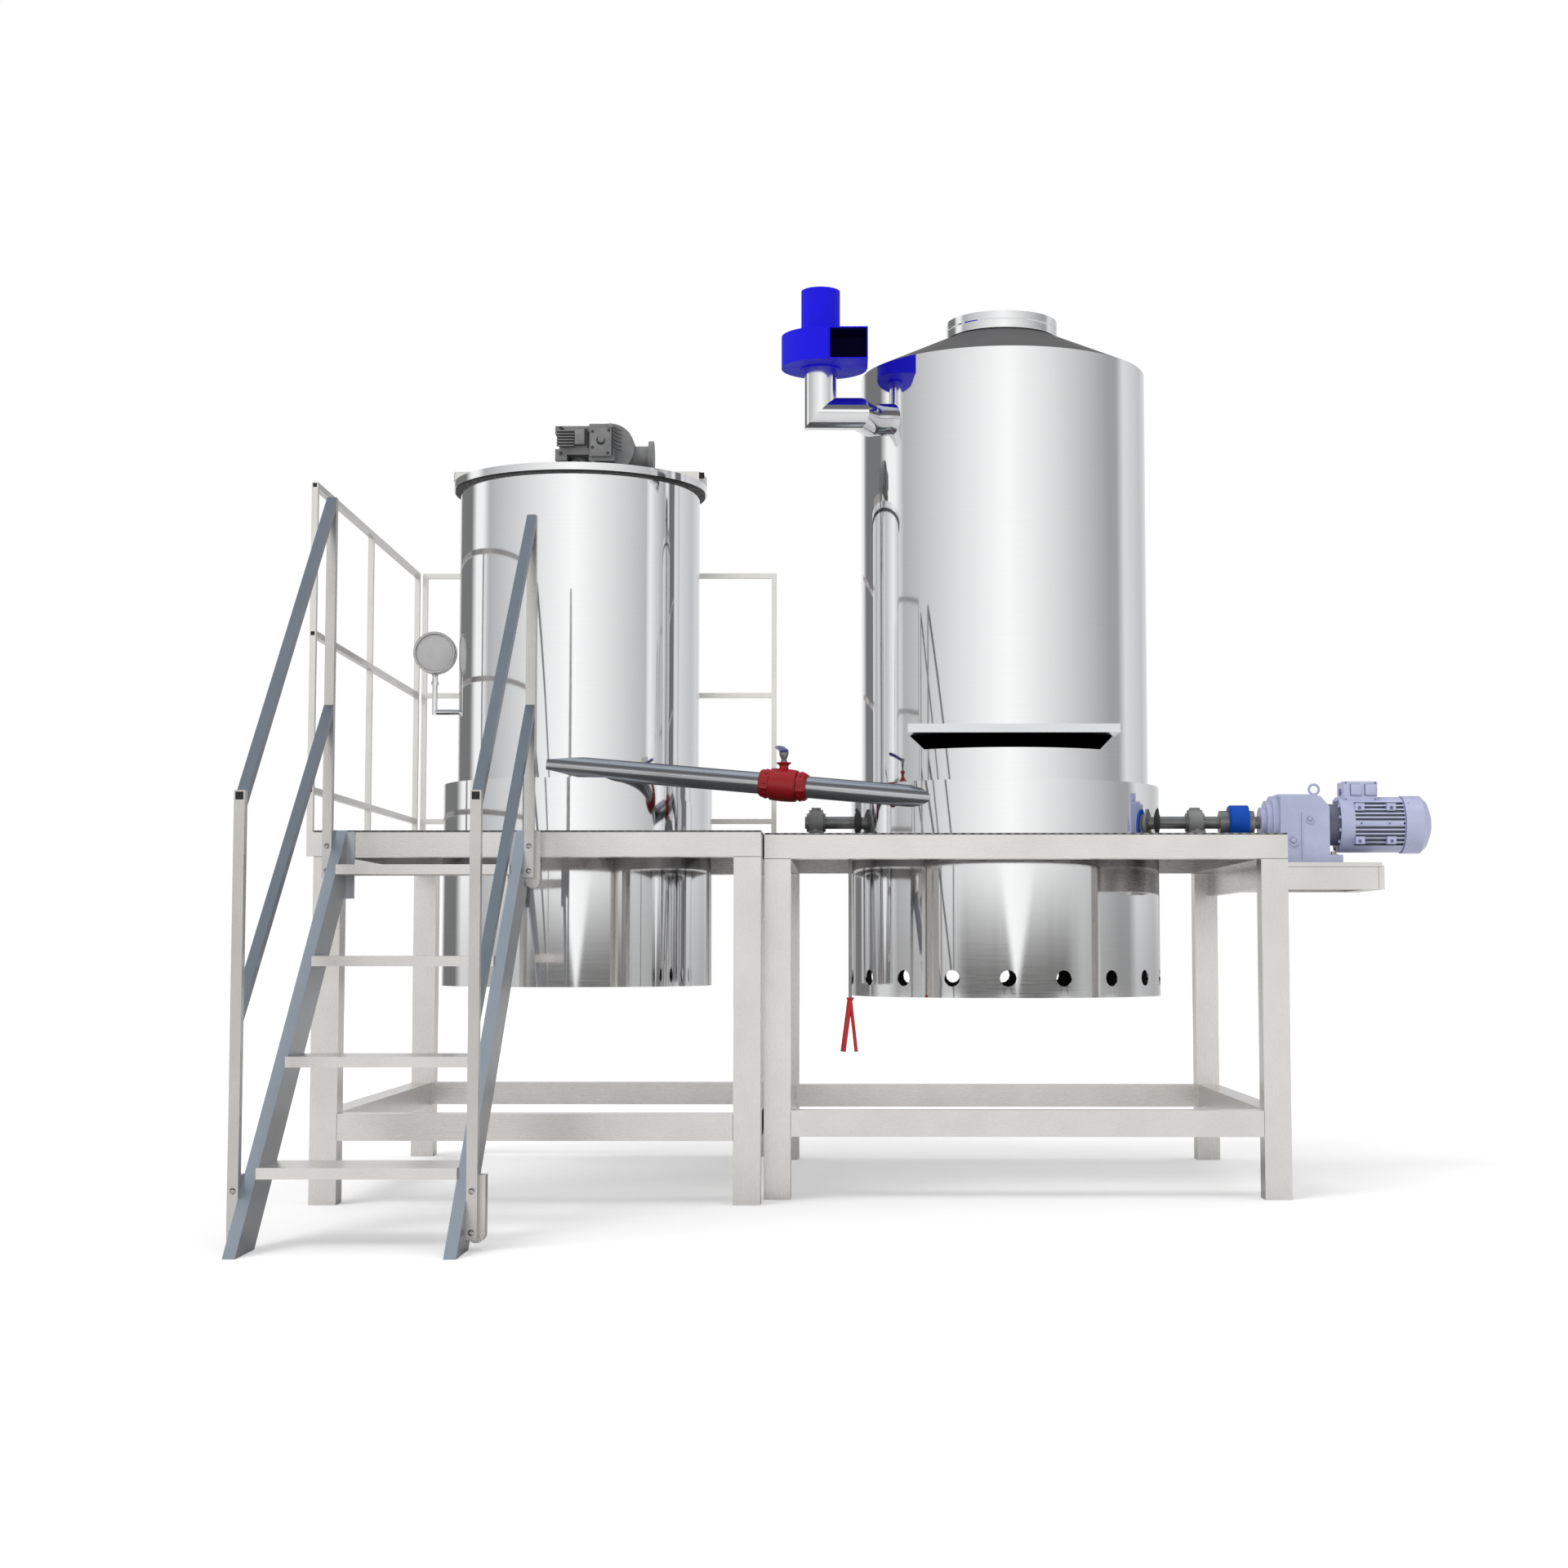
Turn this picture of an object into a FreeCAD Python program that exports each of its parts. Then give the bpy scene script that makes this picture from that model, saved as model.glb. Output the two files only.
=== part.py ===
import FreeCAD, Part
import math
import os
import re

# Halva cooking mixer: a lidded, jacketed cooking vessel and a taller hooded mixing vessel.
# Each hangs through the deck of its own steel table; a sloping pipe with a ball valve joins
# them. Stairs and a guard rail serve the cooking side; a geared motor on a side tray turns
# the mixer shaft, and a fan draws steam from the hood through a mitred duct.
# Millimetres. +X right, +Y away from the stairs, +Z up, origin on the floor at the middle of
# the whole. Sizes below count from the right-hand table's front left foot.

SIZES = {
    # tables
    "deck_height": 1200, "plate_thick": 5, "leg_side": 88, "beam_height": 80,
    "rail_base": 204, "rail_height": 86, "rail_depth": 80, "table_gap": 5,
    "left_lead": 172, "back_step": 136, "deck_hole_gap": 9, "ring_width": 62, "ring_thick": 8,
    # cooking vessel on the left table
    "cook_margin_left": 217, "cook_margin_right": 215, "cook_margin_back": 187,
    "cook_radius": 448, "sheet_thick": 4,
    "cook_drop": 440, "cook_rise": 1320, "cook_drain_radius": 60,
    "jacket_space": 50, "jacket_drop": 516, "jacket_rise": 222,
    "gasket_thick": 6, "gasket_reach": 20, "lid_reach": 26, "lid_height": 27,
    "bridge_depth": 272, "bridge_height": 34,
    # gear unit on the lid
    "pedestal_radius": 78, "pedestal_flange": 14, "pedestal_neck": 44, "pedestal_rise": 52,
    "unit_height": 129, "unit_left": 73, "unit_right": 134, "unit_half": 94,
    "lug_lead": 15, "lug_width": 44, "lug_height": 42, "lug_upper": 30, "lug_hole": 5,
    "cover_inset": 40, "cover_thick": 7, "cover_height": 133, "boss_inset": 87, "boss_rise": 74,
    "boss_radius": 20, "pad_left_reach": 11, "pad_right_reach": 33, "pad_rise": 45,
    "pad_height": 61, "groove_pitch": 11, "groove_height": 5, "groove_depth": 9,
    "groove_rise": 49, "drum_inset": 113, "drum_rise": 54, "drum_radius": 92, "drum_half": 62,
    "input_rise": 29, "input_radius": 42, "input_reach": 256, "plate_radius": 61,
    "plate_width": 18,
    # gauge beside the cooking vessel
    "gauge_reach": 95, "gauge_rise": 725, "gauge_radius": 79, "gauge_thick": 36,
    "gauge_bezel": 7, "gauge_recess": 4, "gauge_pipe_radius": 10, "gauge_pipe_drop": 222,
    "gauge_nut_radius": 14, "gauge_nut_length": 14,
    # mixing vessel on the right table
    "mix_margin_left": 280, "mix_margin_right": 316, "mix_margin_front": 205,
    "mix_margin_back": 223, "mix_radius": 518, "mix_rise": 1700,
    "skirt_space": 38, "skirt_drop": 548, "skirt_rise": 196,
    "vent_radius": 28.5, "vent_rise": 66, "vent_turn": -2.8, "vent_sides": 12,
    "pan_space": 76, "pan_rise": 188,
    "cone_height": 151, "cone_gap": 8, "neck_radius": 203, "neck_height": 61, "neck_groove": 6,
    "neck_wall": 20,
    "slot_rise": 110, "slot_height": 50, "slot_half_low": 304, "slot_half_high": 352,
    "visor_reach": 11, "visor_height": 30, "visor_lead": 6, "visor_depth": 170,
    # steam fan and duct
    "fan_side": 664, "fan_lead": 286, "duct_radius": 57, "duct_drop": 186, "duct_run": 134,
    "duct_turn": 68, "scroll_rise": 162, "scroll_height": 114, "scroll_radius": 152,
    "scroll_shift": 13, "scroll_reach": 167, "outlet_width": 137, "outlet_lead": 154,
    "fan_motor_radius": 69, "fan_motor_height": 166, "outlet_wall": 4, "outlet_pocket": 125,
    # transfer pipe: where its middle line meets the two vessels
    "pipe_radius": 38, "pipe_wall": 3, "pipe_left_turn": 11.46, "pipe_left_rise": 257,
    "pipe_right_turn": 40.27, "pipe_right_rise": 145,
    # ball valve
    "valve_side": 432, "valve_length": 170, "valve_radius": 52, "valve_flange": 32,
    "valve_waist": 46, "valve_neck_radius": 21, "valve_neck_rise": 80, "stem_radius": 12,
    "stem_depth": 20, "stem_rise": 38, "stem_fit": 0.05, "lever_thick": 14, "lever_width": 34,
    "lever_reach": 190, "lever_level": 36,
    # mixer shaft line
    "shaft_lead": 125, "shaft_rise": 68, "shaft_radius": 22, "shaft_tail": 40,
    "shaft_fit": 0.05, "shaft_gap": 6, "bearing_left_gap": 125, "bearing_right_gap": 116,
    "bearing_width": 50, "bearing_length": 190, "bearing_radius": 46, "bearing_foot": 22,
    "bearing_pad": 14, "bearing_cap": 34, "bearing_cap_rise": 53, "seal_radius": 66,
    "seal_width": 34, "seal_rim": 3, "seal_gap": 0.3,
    "hub_radius": 42, "hub_gap": 87, "hub_length": 32, "hub_seat": 14, "sleeve_radius": 62,
    "sleeve_length": 69, "sleeve_edge": 5, "far_hub_length": 21, "output_length": 21,
    # gear motor
    "nose_length": 56, "nose_step": 18, "nose_small": 54, "nose_middle": 78, "nose_large": 94,
    "gear_length": 173, "gear_half": 112, "gear_height": 236, "gear_crown": 9,
    "gear_corner": 38, "gear_foot_reach": 44, "gear_foot_thick": 28, "gear_foot_lip": 8,
    "gear_boss_radius": 13, "gear_boss_rise": 6, "shaft_seat": 31,
    "motor_drop": 8, "motor_neck_radius": 74, "motor_neck_length": 46, "motor_flange": 45,
    "motor_flange_radius": 99, "motor_radius": 99, "motor_core": 86, "motor_length": 228,
    "fin_pitch": 14.5, "fin_gap": 8.5, "motor_lug_a_reach": 65, "motor_lug_b_reach": 176,
    "motor_lug_width": 31, "motor_lug_height": 26, "motor_lug_rise": 59,
    "motor_lug_reach": 97, "cover_length": 100, "cover_radius": 103, "cover_bend": 20,
    "cover_slope": 35, "cover_shoulder": 84, "cover_face": 48,
    "box_inset": 17, "box_length": 119, "box_rise": 65, "box_height": 87, "box_half": 55,
    "eye_inset": 141, "eye_radius": 22, "eye_hole": 14, "eye_thick": 8, "eye_seat": 2,
    # tray that carries the gear motor
    "tray_lead": 155, "tray_width": 440, "tray_reach": 430, "tray_height": 85,
    "tray_tube": 60, "tray_drop": 4, "tray_rail_width": 34, "motor_plate_thick": 10,
    "motor_plate_inset": 8,
    # stairs
    "stair_run": 1318, "stair_inset": 73, "stair_width": 618, "stringer_thick": 34,
    "stringer_depth": 140, "tread_first": 220, "tread_last": 116, "tread_thick": 31,
    "tread_depth": 240, "tread_sheet": 3, "post_side": 30, "post_inset": 155, "post_base": 32,
    "post_top": 1251, "newel_lead": 73, "newel_drop": 155, "newel_rise_left": 1075,
    "newel_rise_right": 1017, "middle_low": 660, "middle_rise": 400,
    "bracket_width": 48, "bracket_height": 184, "bracket_thick": 6, "bracket_depth": 42,
    "bracket_low": 20, "bracket_drop": 188, "end_plate_width": 61, "end_plate_height": 216,
    "end_plate_thick": 6,
    # guard rail
    "guard_side": 20, "guard_rise": 1140, "guard_middle_rise": 642, "guard_low_rise": 131,
    "guard_drop": 84, "guard_foot": 4, "guard_foot_width": 60, "guard_foot_height": 80,
    "guard_middle_inset": 912, "guard_end_inset": 4,
    # drain pull
    "pull_inset": 284, "pull_set_back": 170, "pull_radius": 5.5, "pull_length": 540,
    "grip_length": 181, "grip_left": 24, "grip_right": 20, "grip_thick": 9, "grip_thin": 6,
    "grip_knob": 13,
    # how far a cutting tool or an untrimmed bar runs past what it meets
    "spare": 20,
}
# Places worked out from those sizes
PLACES = {
    "deck_base": "deck_height - plate_thick", "beam_base": "deck_base - beam_height",
    "right_start": "0", "mix_hole": "skirt_radius + deck_hole_gap",
    "mix_x": "mix_hole + mix_margin_left", "right_stop": "mix_x + mix_hole + mix_margin_right",
    "right_front": "0", "mix_y": "mix_hole + mix_margin_front",
    "right_back": "mix_y + mix_hole + mix_margin_back",
    "left_stop": "-table_gap", "cook_hole": "jacket_radius + deck_hole_gap",
    "cook_x": "left_stop - cook_margin_right - cook_hole",
    "left_start": "cook_x - cook_hole - cook_margin_left", "left_front": "-left_lead",
    "left_back": "right_back + back_step", "cook_y": "left_back - cook_margin_back - cook_hole",
    "cook_floor": "deck_height - cook_drop", "cook_rim": "deck_height + cook_rise",
    "cook_bore": "cook_radius - sheet_thick", "jacket_radius": "cook_radius + jacket_space",
    "jacket_base": "deck_height - jacket_drop", "jacket_top": "deck_height + jacket_rise",
    "drain_bore": "cook_drain_radius - sheet_thick",
    "lid_radius": "cook_radius + lid_reach", "lid_bore": "cook_radius - gasket_reach",
    "lid_base": "cook_rim + gasket_thick", "bridge_base": "lid_base + lid_height",
    "pedestal_base": "bridge_base + bridge_height", "unit_base": "pedestal_base + pedestal_rise",
    "unit_top": "unit_base + unit_height", "unit_start": "cook_x - unit_left",
    "unit_stop": "cook_x + unit_right", "unit_front": "cook_y - unit_half",
    "unit_back": "cook_y + unit_half", "lug_start": "unit_start - lug_lead",
    "cover_left": "cook_x + cover_inset", "boss_x": "cook_x + boss_inset",
    "pad_left": "cook_x - pad_left_reach", "pad_right": "cook_x + pad_right_reach",
    "drum_x": "cook_x + drum_inset", "drum_z": "unit_base + drum_rise",
    "input_z": "unit_base + input_rise", "input_stop": "cook_x + input_reach",
    "gauge_x": "cook_x - cook_radius - gauge_reach", "gauge_z": "deck_height + gauge_rise",
    "gauge_low": "gauge_z - gauge_radius", "gauge_pipe_z": "gauge_z - gauge_pipe_drop",
    "gauge_front": "cook_y - gauge_thick / 2",
    "mix_bore": "mix_radius - sheet_thick",
    "mix_shoulder": "deck_height + mix_rise", "skirt_radius": "mix_radius + skirt_space",
    "skirt_bore": "skirt_radius - sheet_thick", "skirt_base": "deck_height - skirt_drop",
    "skirt_top": "deck_height + skirt_rise", "vent_z": "skirt_base + vent_rise",
    "pan_radius": "skirt_radius - pan_space", "pan_floor": "skirt_base + pan_rise",
    "pan_top": "skirt_top - sheet_thick", "cone_top": "mix_shoulder + cone_height",
    "slot_base": "skirt_top + slot_rise", "visor_base": "slot_base + slot_height",
    "visor_half": "slot_half_high + visor_reach",
    "fan_x": "mix_x - fan_side", "fan_y": "mix_y - fan_lead",
    "duct_level": "mix_shoulder - duct_drop", "scroll_base": "duct_level + scroll_rise",
    "scroll_x": "fan_x + scroll_shift", "outlet_front": "fan_y - outlet_lead",
    "outlet_left": "fan_x + scroll_reach - outlet_width",
    "pipe_left_x": "cook_x + cook_radius * sin(pipe_left_turn)",
    "pipe_left_y": "cook_y - cook_radius * cos(pipe_left_turn)",
    "pipe_right_x": "mix_x - skirt_radius * sin(pipe_right_turn)",
    "pipe_right_y": "mix_y - skirt_radius * cos(pipe_right_turn)",
    "valve_x": "pipe_right_x - valve_side",
    "shaft_y": "mix_y - shaft_lead", "shaft_z": "deck_height + shaft_rise",
    "bearing_left": "mix_x - skirt_radius - bearing_left_gap",
    "bearing_right": "mix_x + skirt_radius + bearing_right_gap",
    "shaft_start": "bearing_left - shaft_tail", "hub_start": "bearing_right + hub_gap",
    "shaft_stop": "hub_start + hub_seat", "sleeve_start": "hub_start + hub_length",
    "far_hub": "sleeve_start + sleeve_length", "output_start": "far_hub + far_hub_length",
    "gear_nose": "output_start + output_length", "gear_start": "gear_nose + nose_length",
    "gear_stop": "gear_start + gear_length", "gear_foot_stop": "gear_stop + gear_foot_reach",
    "gear_front": "shaft_y - gear_half", "gear_base": "tray_top + motor_plate_thick",
    "gear_top": "gear_base + gear_height",
    "motor_z": "shaft_z - motor_drop", "motor_start": "gear_stop + motor_neck_length",
    "fins_start": "motor_start + motor_flange", "cover_start": "motor_start + motor_length",
    "cover_end": "cover_start + cover_length", "box_start": "motor_start + box_inset",
    "box_base": "motor_z + box_rise", "eye_x": "gear_start + eye_inset",
    "eye_z": "gear_top + gear_crown + eye_radius - eye_seat",
    "tray_front": "shaft_y - tray_lead", "tray_stop": "right_stop + tray_reach",
    "tray_top": "beam_base - tray_drop", "tray_base": "tray_top - tray_height",
    "stair_foot": "left_front - stair_run", "stair_left": "left_start + stair_inset",
    "stair_right": "stair_left + stair_width", "post_y": "stair_foot + post_inset",
    "newel_y": "left_front - newel_lead", "newel_base": "deck_height - newel_drop",
    "newel_top_left": "deck_height + newel_rise_left",
    "newel_top_right": "deck_height + newel_rise_right",
    "middle_high": "deck_height + middle_rise", "bracket_high": "deck_height - bracket_drop",
    "tread_rise": "(deck_height - tread_first - tread_last) / 3",
    "guard_top": "deck_height + guard_rise", "guard_middle": "deck_height + guard_middle_rise",
    "guard_low": "deck_height + guard_low_rise", "guard_base": "deck_height - guard_drop",
    "guard_middle_y": "left_front + guard_middle_inset",
    "pull_x": "pull_inset", "pull_y": "pull_set_back", "pull_base": "deck_base - pull_length",
}

doc = FreeCAD.newDocument("halva_cooking_mixer")
sheet = doc.addObject("Spreadsheet::Sheet", "dims")
for row, (alias, value) in enumerate(SIZES.items(), start=1):
    sheet.set(f"A{row}", alias)
    sheet.set(f"B{row}", str(value))
    sheet.setAlias(f"B{row}", alias)
doc.recompute()
S = {alias: float(sheet.get(alias)) for alias in SIZES}

NODES = []
TURNS = {
    "x": FreeCAD.Rotation(FreeCAD.Vector(0, 1, 0), 90),
    "y": FreeCAD.Rotation(FreeCAD.Vector(1, 0, 0), -90),
    "z": FreeCAD.Rotation(),
}


def formula(text):
    """The formula with each place worked out and each size looked up in the sheet."""
    def look_up(match):
        name = match[0]
        if name in PLACES:
            return f"({formula(PLACES[name])})"
        return f"dims.{name}" if name in SIZES else name
    return re.sub(r"[a-z_]+", look_up, str(text))


def bind(thing, **sizes):
    for prop, text in sizes.items():
        thing.setExpression(prop, formula(text))
    return thing


def put(thing, x, y, z):
    for axis, text in zip("xyz", (x, y, z)):
        thing.setExpression(f"Placement.Base.{axis}", formula(text))
    return thing


def spot(x, y, z):
    """The point that three formulas give."""
    mark = bind(doc.addObject("Part::Vertex", "spot"), X=x, Y=y, Z=z)
    mark.recompute()
    return FreeCAD.Vector(mark.X.Value, mark.Y.Value, mark.Z.Value)


def box(x, y, z, dx, dy, dz):
    return put(bind(doc.addObject("Part::Box", "box"), Length=dx, Width=dy, Height=dz), x, y, z)


def rod(x, y, z, radius, length, along="z"):
    thing = doc.addObject("Part::Cylinder", "rod")
    thing.Placement.Rotation = TURNS[along]
    return put(bind(thing, Radius=radius, Height=length), x, y, z)


def taper(x, y, z, radius_a, radius_b, length, along="z"):
    thing = doc.addObject("Part::Cone", "taper")
    thing.Placement.Rotation = TURNS[along]
    return put(bind(thing, Radius1=radius_a, Radius2=radius_b, Height=length), x, y, z)


def fuse(*things):
    if len(things) == 1:
        return things[0]
    whole = doc.addObject("Part::MultiFuse", "whole")
    whole.Shapes = list(things)
    whole.Refine = True
    return whole


def cut(base, *tools):
    rest = doc.addObject("Part::Cut", "rest")
    rest.Base, rest.Tool = base, fuse(*tools)
    return rest


def common(first, second):
    both = doc.addObject("Part::Common", "both")
    both.Base, both.Tool = first, second
    return both


def tube(x, y, z, radius, bore, length, along="z"):
    return cut(rod(x, y, z, radius, length, along), rod(x, y, z, bore, length, along))


def sloped(x, y, z, width, length, depth, angle):
    """A bar that climbs away from the viewer; its upper edge starts at the point given."""
    bar = box(x, f"{y} + {depth} * sin({angle})", f"{z} - {depth} * cos({angle})", width, length, depth)
    bar.Placement.Rotation = FreeCAD.Rotation(FreeCAD.Vector(1, 0, 0), 10)
    return bind(bar, **{"Placement.Rotation.Angle": angle})


def node(label, *solids):
    """A named piece: one solid, or several like solids that don't touch."""
    piece = doc.addObject("Part::Compound", label)
    piece.Label = label
    piece.Links = list(solids)
    put(piece, "-(left_start - guard_foot - guard_side + cover_end) / 2",
        "-(stair_foot + left_back + guard_foot + guard_side) / 2", "0")
    NODES.append(piece)


# Tables
SIDES = {"left": ("cook_x", "cook_y", "jacket_radius", "cook_hole"),
         "right": ("mix_x", "mix_y", "skirt_radius", "mix_hole")}
legs, beams, rails, rings = [], [], [], []
for side, (x, y, radius, hole) in SIDES.items():
    x0, x1, y0, y1 = (f"{side}_{edge}" for edge in ("start", "stop", "front", "back"))
    wide, deep = f"({x1} - {x0})", f"({y1} - {y0})"
    inner_wide, inner_deep = f"({wide} - 2 * leg_side)", f"({deep} - 2 * leg_side)"
    legs += [box(a, b, 0, "leg_side", "leg_side", "beam_base")
             for a in (x0, f"{x1} - leg_side") for b in (y0, f"{y1} - leg_side")]
    beams.append(cut(box(x0, y0, "beam_base", wide, deep, "beam_height"),
                     box(f"{x0} + leg_side", f"{y0} + leg_side", "beam_base", inner_wide,
                         inner_deep, "beam_height")))
    rails += [box(f"{x0} + leg_side", b, "rail_base", inner_wide, "rail_depth", "rail_height")
              for b in (y0, f"{y1} - rail_depth")]
    rails += [box(a, f"{y0} + leg_side", "rail_base", "rail_depth", inner_deep, "rail_height")
              for a in (x0, f"{x1} - rail_depth")]
    node(f"{side}_deck", cut(box(x0, y0, "deck_base", wide, deep, "plate_thick"),
                             rod(x, y, "deck_base", hole, "plate_thick")))
    rings.append(tube(x, y, "deck_height", f"{radius} + ring_width", radius, "ring_thick"))
node("table_legs", *legs)
node("table_beams", *beams)
node("lower_rails", *rails)
node("support_rings", *rings)

# Cooking vessel
cx, cy = "cook_x", "cook_y"
node("cook_shell", tube(cx, cy, "cook_floor", "cook_radius", "cook_bore", "cook_rim - cook_floor"))
node("cook_floor", cut(fuse(rod(cx, cy, "cook_floor", "cook_bore", "sheet_thick"),
                            rod(cx, cy, "jacket_base", "cook_drain_radius", "cook_floor - jacket_base")),
                       rod(cx, cy, "jacket_base", "drain_bore", "cook_floor + sheet_thick - jacket_base")))
node("cook_jacket", cut(
    rod(cx, cy, "jacket_base", "jacket_radius", "jacket_top - jacket_base"),
    rod(cx, cy, "jacket_base + sheet_thick", "jacket_radius - sheet_thick",
        "jacket_top - jacket_base - 2 * sheet_thick"),
    rod(cx, cy, "jacket_base + sheet_thick", "cook_radius", "jacket_top - jacket_base"),
    rod(cx, cy, "jacket_base", "cook_drain_radius", "sheet_thick")))
node("lid_gasket", tube(cx, cy, "cook_rim", "cook_radius + gasket_reach", "lid_bore", "gasket_thick"))
node("cook_lid", cut(rod(cx, cy, "lid_base", "lid_radius", "lid_height"),
                     rod(cx, cy, "lid_base", "lid_bore", "lid_height - sheet_thick")))
node("lid_bridge", common(
    box(f"{cx} - lid_radius", f"{cy} - bridge_depth / 2", "bridge_base", "2 * lid_radius",
        "bridge_depth", "bridge_height"),
    rod(cx, cy, "bridge_base", "lid_radius", "bridge_height")))
grooves = [box("unit_start + sheet_thick", y, f"unit_base + groove_rise + {k} * groove_pitch",
               "pad_left - unit_start - 2 * sheet_thick", "groove_depth", "groove_height")
           for k in range(5) for y in ("unit_front", "unit_back - groove_depth")]
casting = fuse(
    box("unit_start", "unit_front", "unit_base + lug_height / 2", "unit_stop - unit_start",
        "2 * unit_half", "unit_height - lug_height / 2"),
    box("lug_start", "unit_front", "unit_base", "lug_width", "2 * unit_half", "lug_height"),
    box("lug_start", "unit_front", "unit_top - lug_upper", "lug_width + lug_hole", "2 * unit_half",
        "lug_upper"),
    box("cover_left", "unit_front - cover_thick", "unit_top - cover_height",
        "unit_stop - cover_left", "2 * (unit_half + cover_thick)", "cover_height + cover_thick"))
node("lid_gear_unit", cut(
    fuse(
        casting,
        rod(cx, cy, "pedestal_base", "pedestal_radius", "pedestal_flange"),
        rod(cx, cy, "pedestal_base", "pedestal_neck", "pedestal_rise + lug_height / 2 + spare / 4"),
        rod("boss_x", "unit_front - 2 * cover_thick", "unit_base + boss_rise", "boss_radius",
            "2 * (unit_half + 2 * cover_thick)", "y"),
        rod("drum_x", f"{cy} - drum_half", "drum_z", "drum_radius", "2 * drum_half", "y"),
        rod("drum_x", cy, "input_z", "input_radius", "input_stop - drum_x", "x"),
        rod("input_stop", cy, "input_z", "plate_radius", "plate_width", "x")),
    box("pad_right", "unit_front", "unit_base + pad_rise", "cover_left - pad_right", "groove_depth",
        "pad_height"),
    rod("lug_start + lug_width / 2", "unit_front", "unit_base + (lug_height + lug_hole) / 2",
        "lug_hole", "2 * unit_half", "y"),
    rod("lug_start + lug_width / 2 + lug_hole", "unit_front", "unit_top - lug_upper / 2",
        "1.4 * lug_hole", "2 * unit_half", "y"),
    *grooves))

# Gauge on its elbow pipe
node("gauge_pipe", fuse(
    cut(rod("gauge_x", cy, "gauge_pipe_z", "gauge_pipe_radius", f"{cx} - gauge_x", "x"),
        rod(cx, cy, "cook_floor", "cook_radius", "cook_rim - cook_floor")),
    rod("gauge_x", cy, "gauge_pipe_z - gauge_pipe_radius", "gauge_pipe_radius",
        "gauge_low - gauge_pipe_z + gauge_pipe_radius + gauge_recess"),
    rod("gauge_x", cy, "gauge_low - 3 * gauge_nut_length", "gauge_nut_radius", "gauge_nut_length")))
node("gauge", cut(rod("gauge_x", "gauge_front", "gauge_z", "gauge_radius", "gauge_thick", "y"),
                  rod("gauge_x", "gauge_front", "gauge_z", "gauge_radius - gauge_bezel",
                      "gauge_recess", "y"),
                  rod("gauge_x", cy, "gauge_low - gauge_recess", "gauge_pipe_radius",
                      "2 * gauge_recess")))

# Mixing vessel
mx, my = "mix_x", "mix_y"
vents = []
for k in range(18):
    vent = put(bind(doc.addObject("Part::Prism", "vent"), Polygon="vent_sides",
                    Circumradius="vent_radius", Height="skirt_radius + spare"), mx, my, "vent_z")
    around = FreeCAD.Rotation(FreeCAD.Vector(0, 0, 1), S["vent_turn"] + 20 * k - 90)
    vent.Placement.Rotation = around.multiply(TURNS["x"])
    vents.append(vent)


def shaft_way():
    return rod(f"{mx} - skirt_radius - spare", "shaft_y", "shaft_z", "shaft_radius + shaft_gap",
               "2 * skirt_radius + 2 * spare", "x")


node("mix_skirt", cut(
    fuse(tube(mx, my, "skirt_base", "skirt_radius", "skirt_bore", "skirt_top - skirt_base"),
         tube(mx, my, "skirt_top - sheet_thick", "skirt_radius", "mix_bore", "sheet_thick")),
    shaft_way(), *vents))
node("mix_pan", cut(
    fuse(cut(rod(mx, my, "pan_floor", "pan_radius", "pan_top - pan_floor"),
             rod(mx, my, "pan_floor + sheet_thick", "pan_radius - sheet_thick",
                 "pan_top - pan_floor")),
         tube(mx, my, "pan_top - 2 * sheet_thick", "skirt_bore", "pan_radius - sheet_thick",
              "2 * sheet_thick")),
    shaft_way()))
slot = doc.addObject("Part::Wedge", "slot")
slot.Placement.Rotation = FreeCAD.Rotation(FreeCAD.Vector(1, 0, 0), 90)
put(bind(slot, Xmin="-slot_half_low", Xmax="slot_half_low", X2min="-slot_half_high",
         X2max="slot_half_high", Ymin=0, Ymax="slot_height", Zmin=0, Zmax="mix_radius + spare",
         Z2min=0, Z2max="mix_radius + spare"), mx, my, "slot_base")
node("mix_hood", cut(
    tube(mx, my, "skirt_top", "mix_radius", "mix_bore", "mix_shoulder - skirt_top"), slot))
node("hood_visor", cut(
    box(f"{mx} - visor_half", f"{my} - mix_radius - visor_lead", "visor_base", "2 * visor_half",
        "visor_depth", "visor_height"),
    rod(mx, my, "visor_base", "mix_radius", "visor_height")))
node("hood_cone", cut(
    taper(mx, my, "mix_shoulder", "mix_radius", "neck_radius - cone_gap", "cone_height"),
    taper(mx, my, "mix_shoulder", "mix_radius - 2 * sheet_thick",
          "neck_radius - cone_gap - 2 * sheet_thick", "cone_height")))
disc = "((neck_height - neck_groove) / 2)"
node("hood_neck", cut(
    fuse(rod(mx, my, "cone_top", "neck_radius", disc),
         rod(mx, my, f"cone_top + {disc}", "neck_radius - neck_groove", "neck_groove"),
         rod(mx, my, f"cone_top + {disc} + neck_groove", "neck_radius", disc)),
    rod(mx, my, "cone_top", "neck_radius - neck_wall", "neck_height")))

# Fan and duct
node("fan_scroll", cut(
    fuse(rod("scroll_x", "fan_y", "scroll_base", "scroll_radius", "scroll_height"),
         box("outlet_left", "outlet_front", "scroll_base", "outlet_width", "outlet_lead",
             "scroll_height")),
    box("outlet_left + outlet_wall", "outlet_front", "scroll_base + outlet_wall",
        "outlet_width - 2 * outlet_wall", "outlet_pocket", "scroll_height - 2 * outlet_wall")))
node("fan_motor", rod("fan_x", "fan_y", "scroll_base + scroll_height", "fan_motor_radius",
                      "fan_motor_height"))
turn = math.radians(S["duct_turn"])
bend = spot("fan_x + duct_run", "fan_y", "duct_level")
inward = FreeCAD.Vector(math.cos(turn), math.sin(turn), 0)
reach = (spot(mx, my, "duct_level") - bend).dot(inward)
route = [spot("fan_x", "fan_y", "scroll_base"), spot("fan_x", "fan_y", "duct_level"), bend,
         bend + inward * reach]


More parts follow.
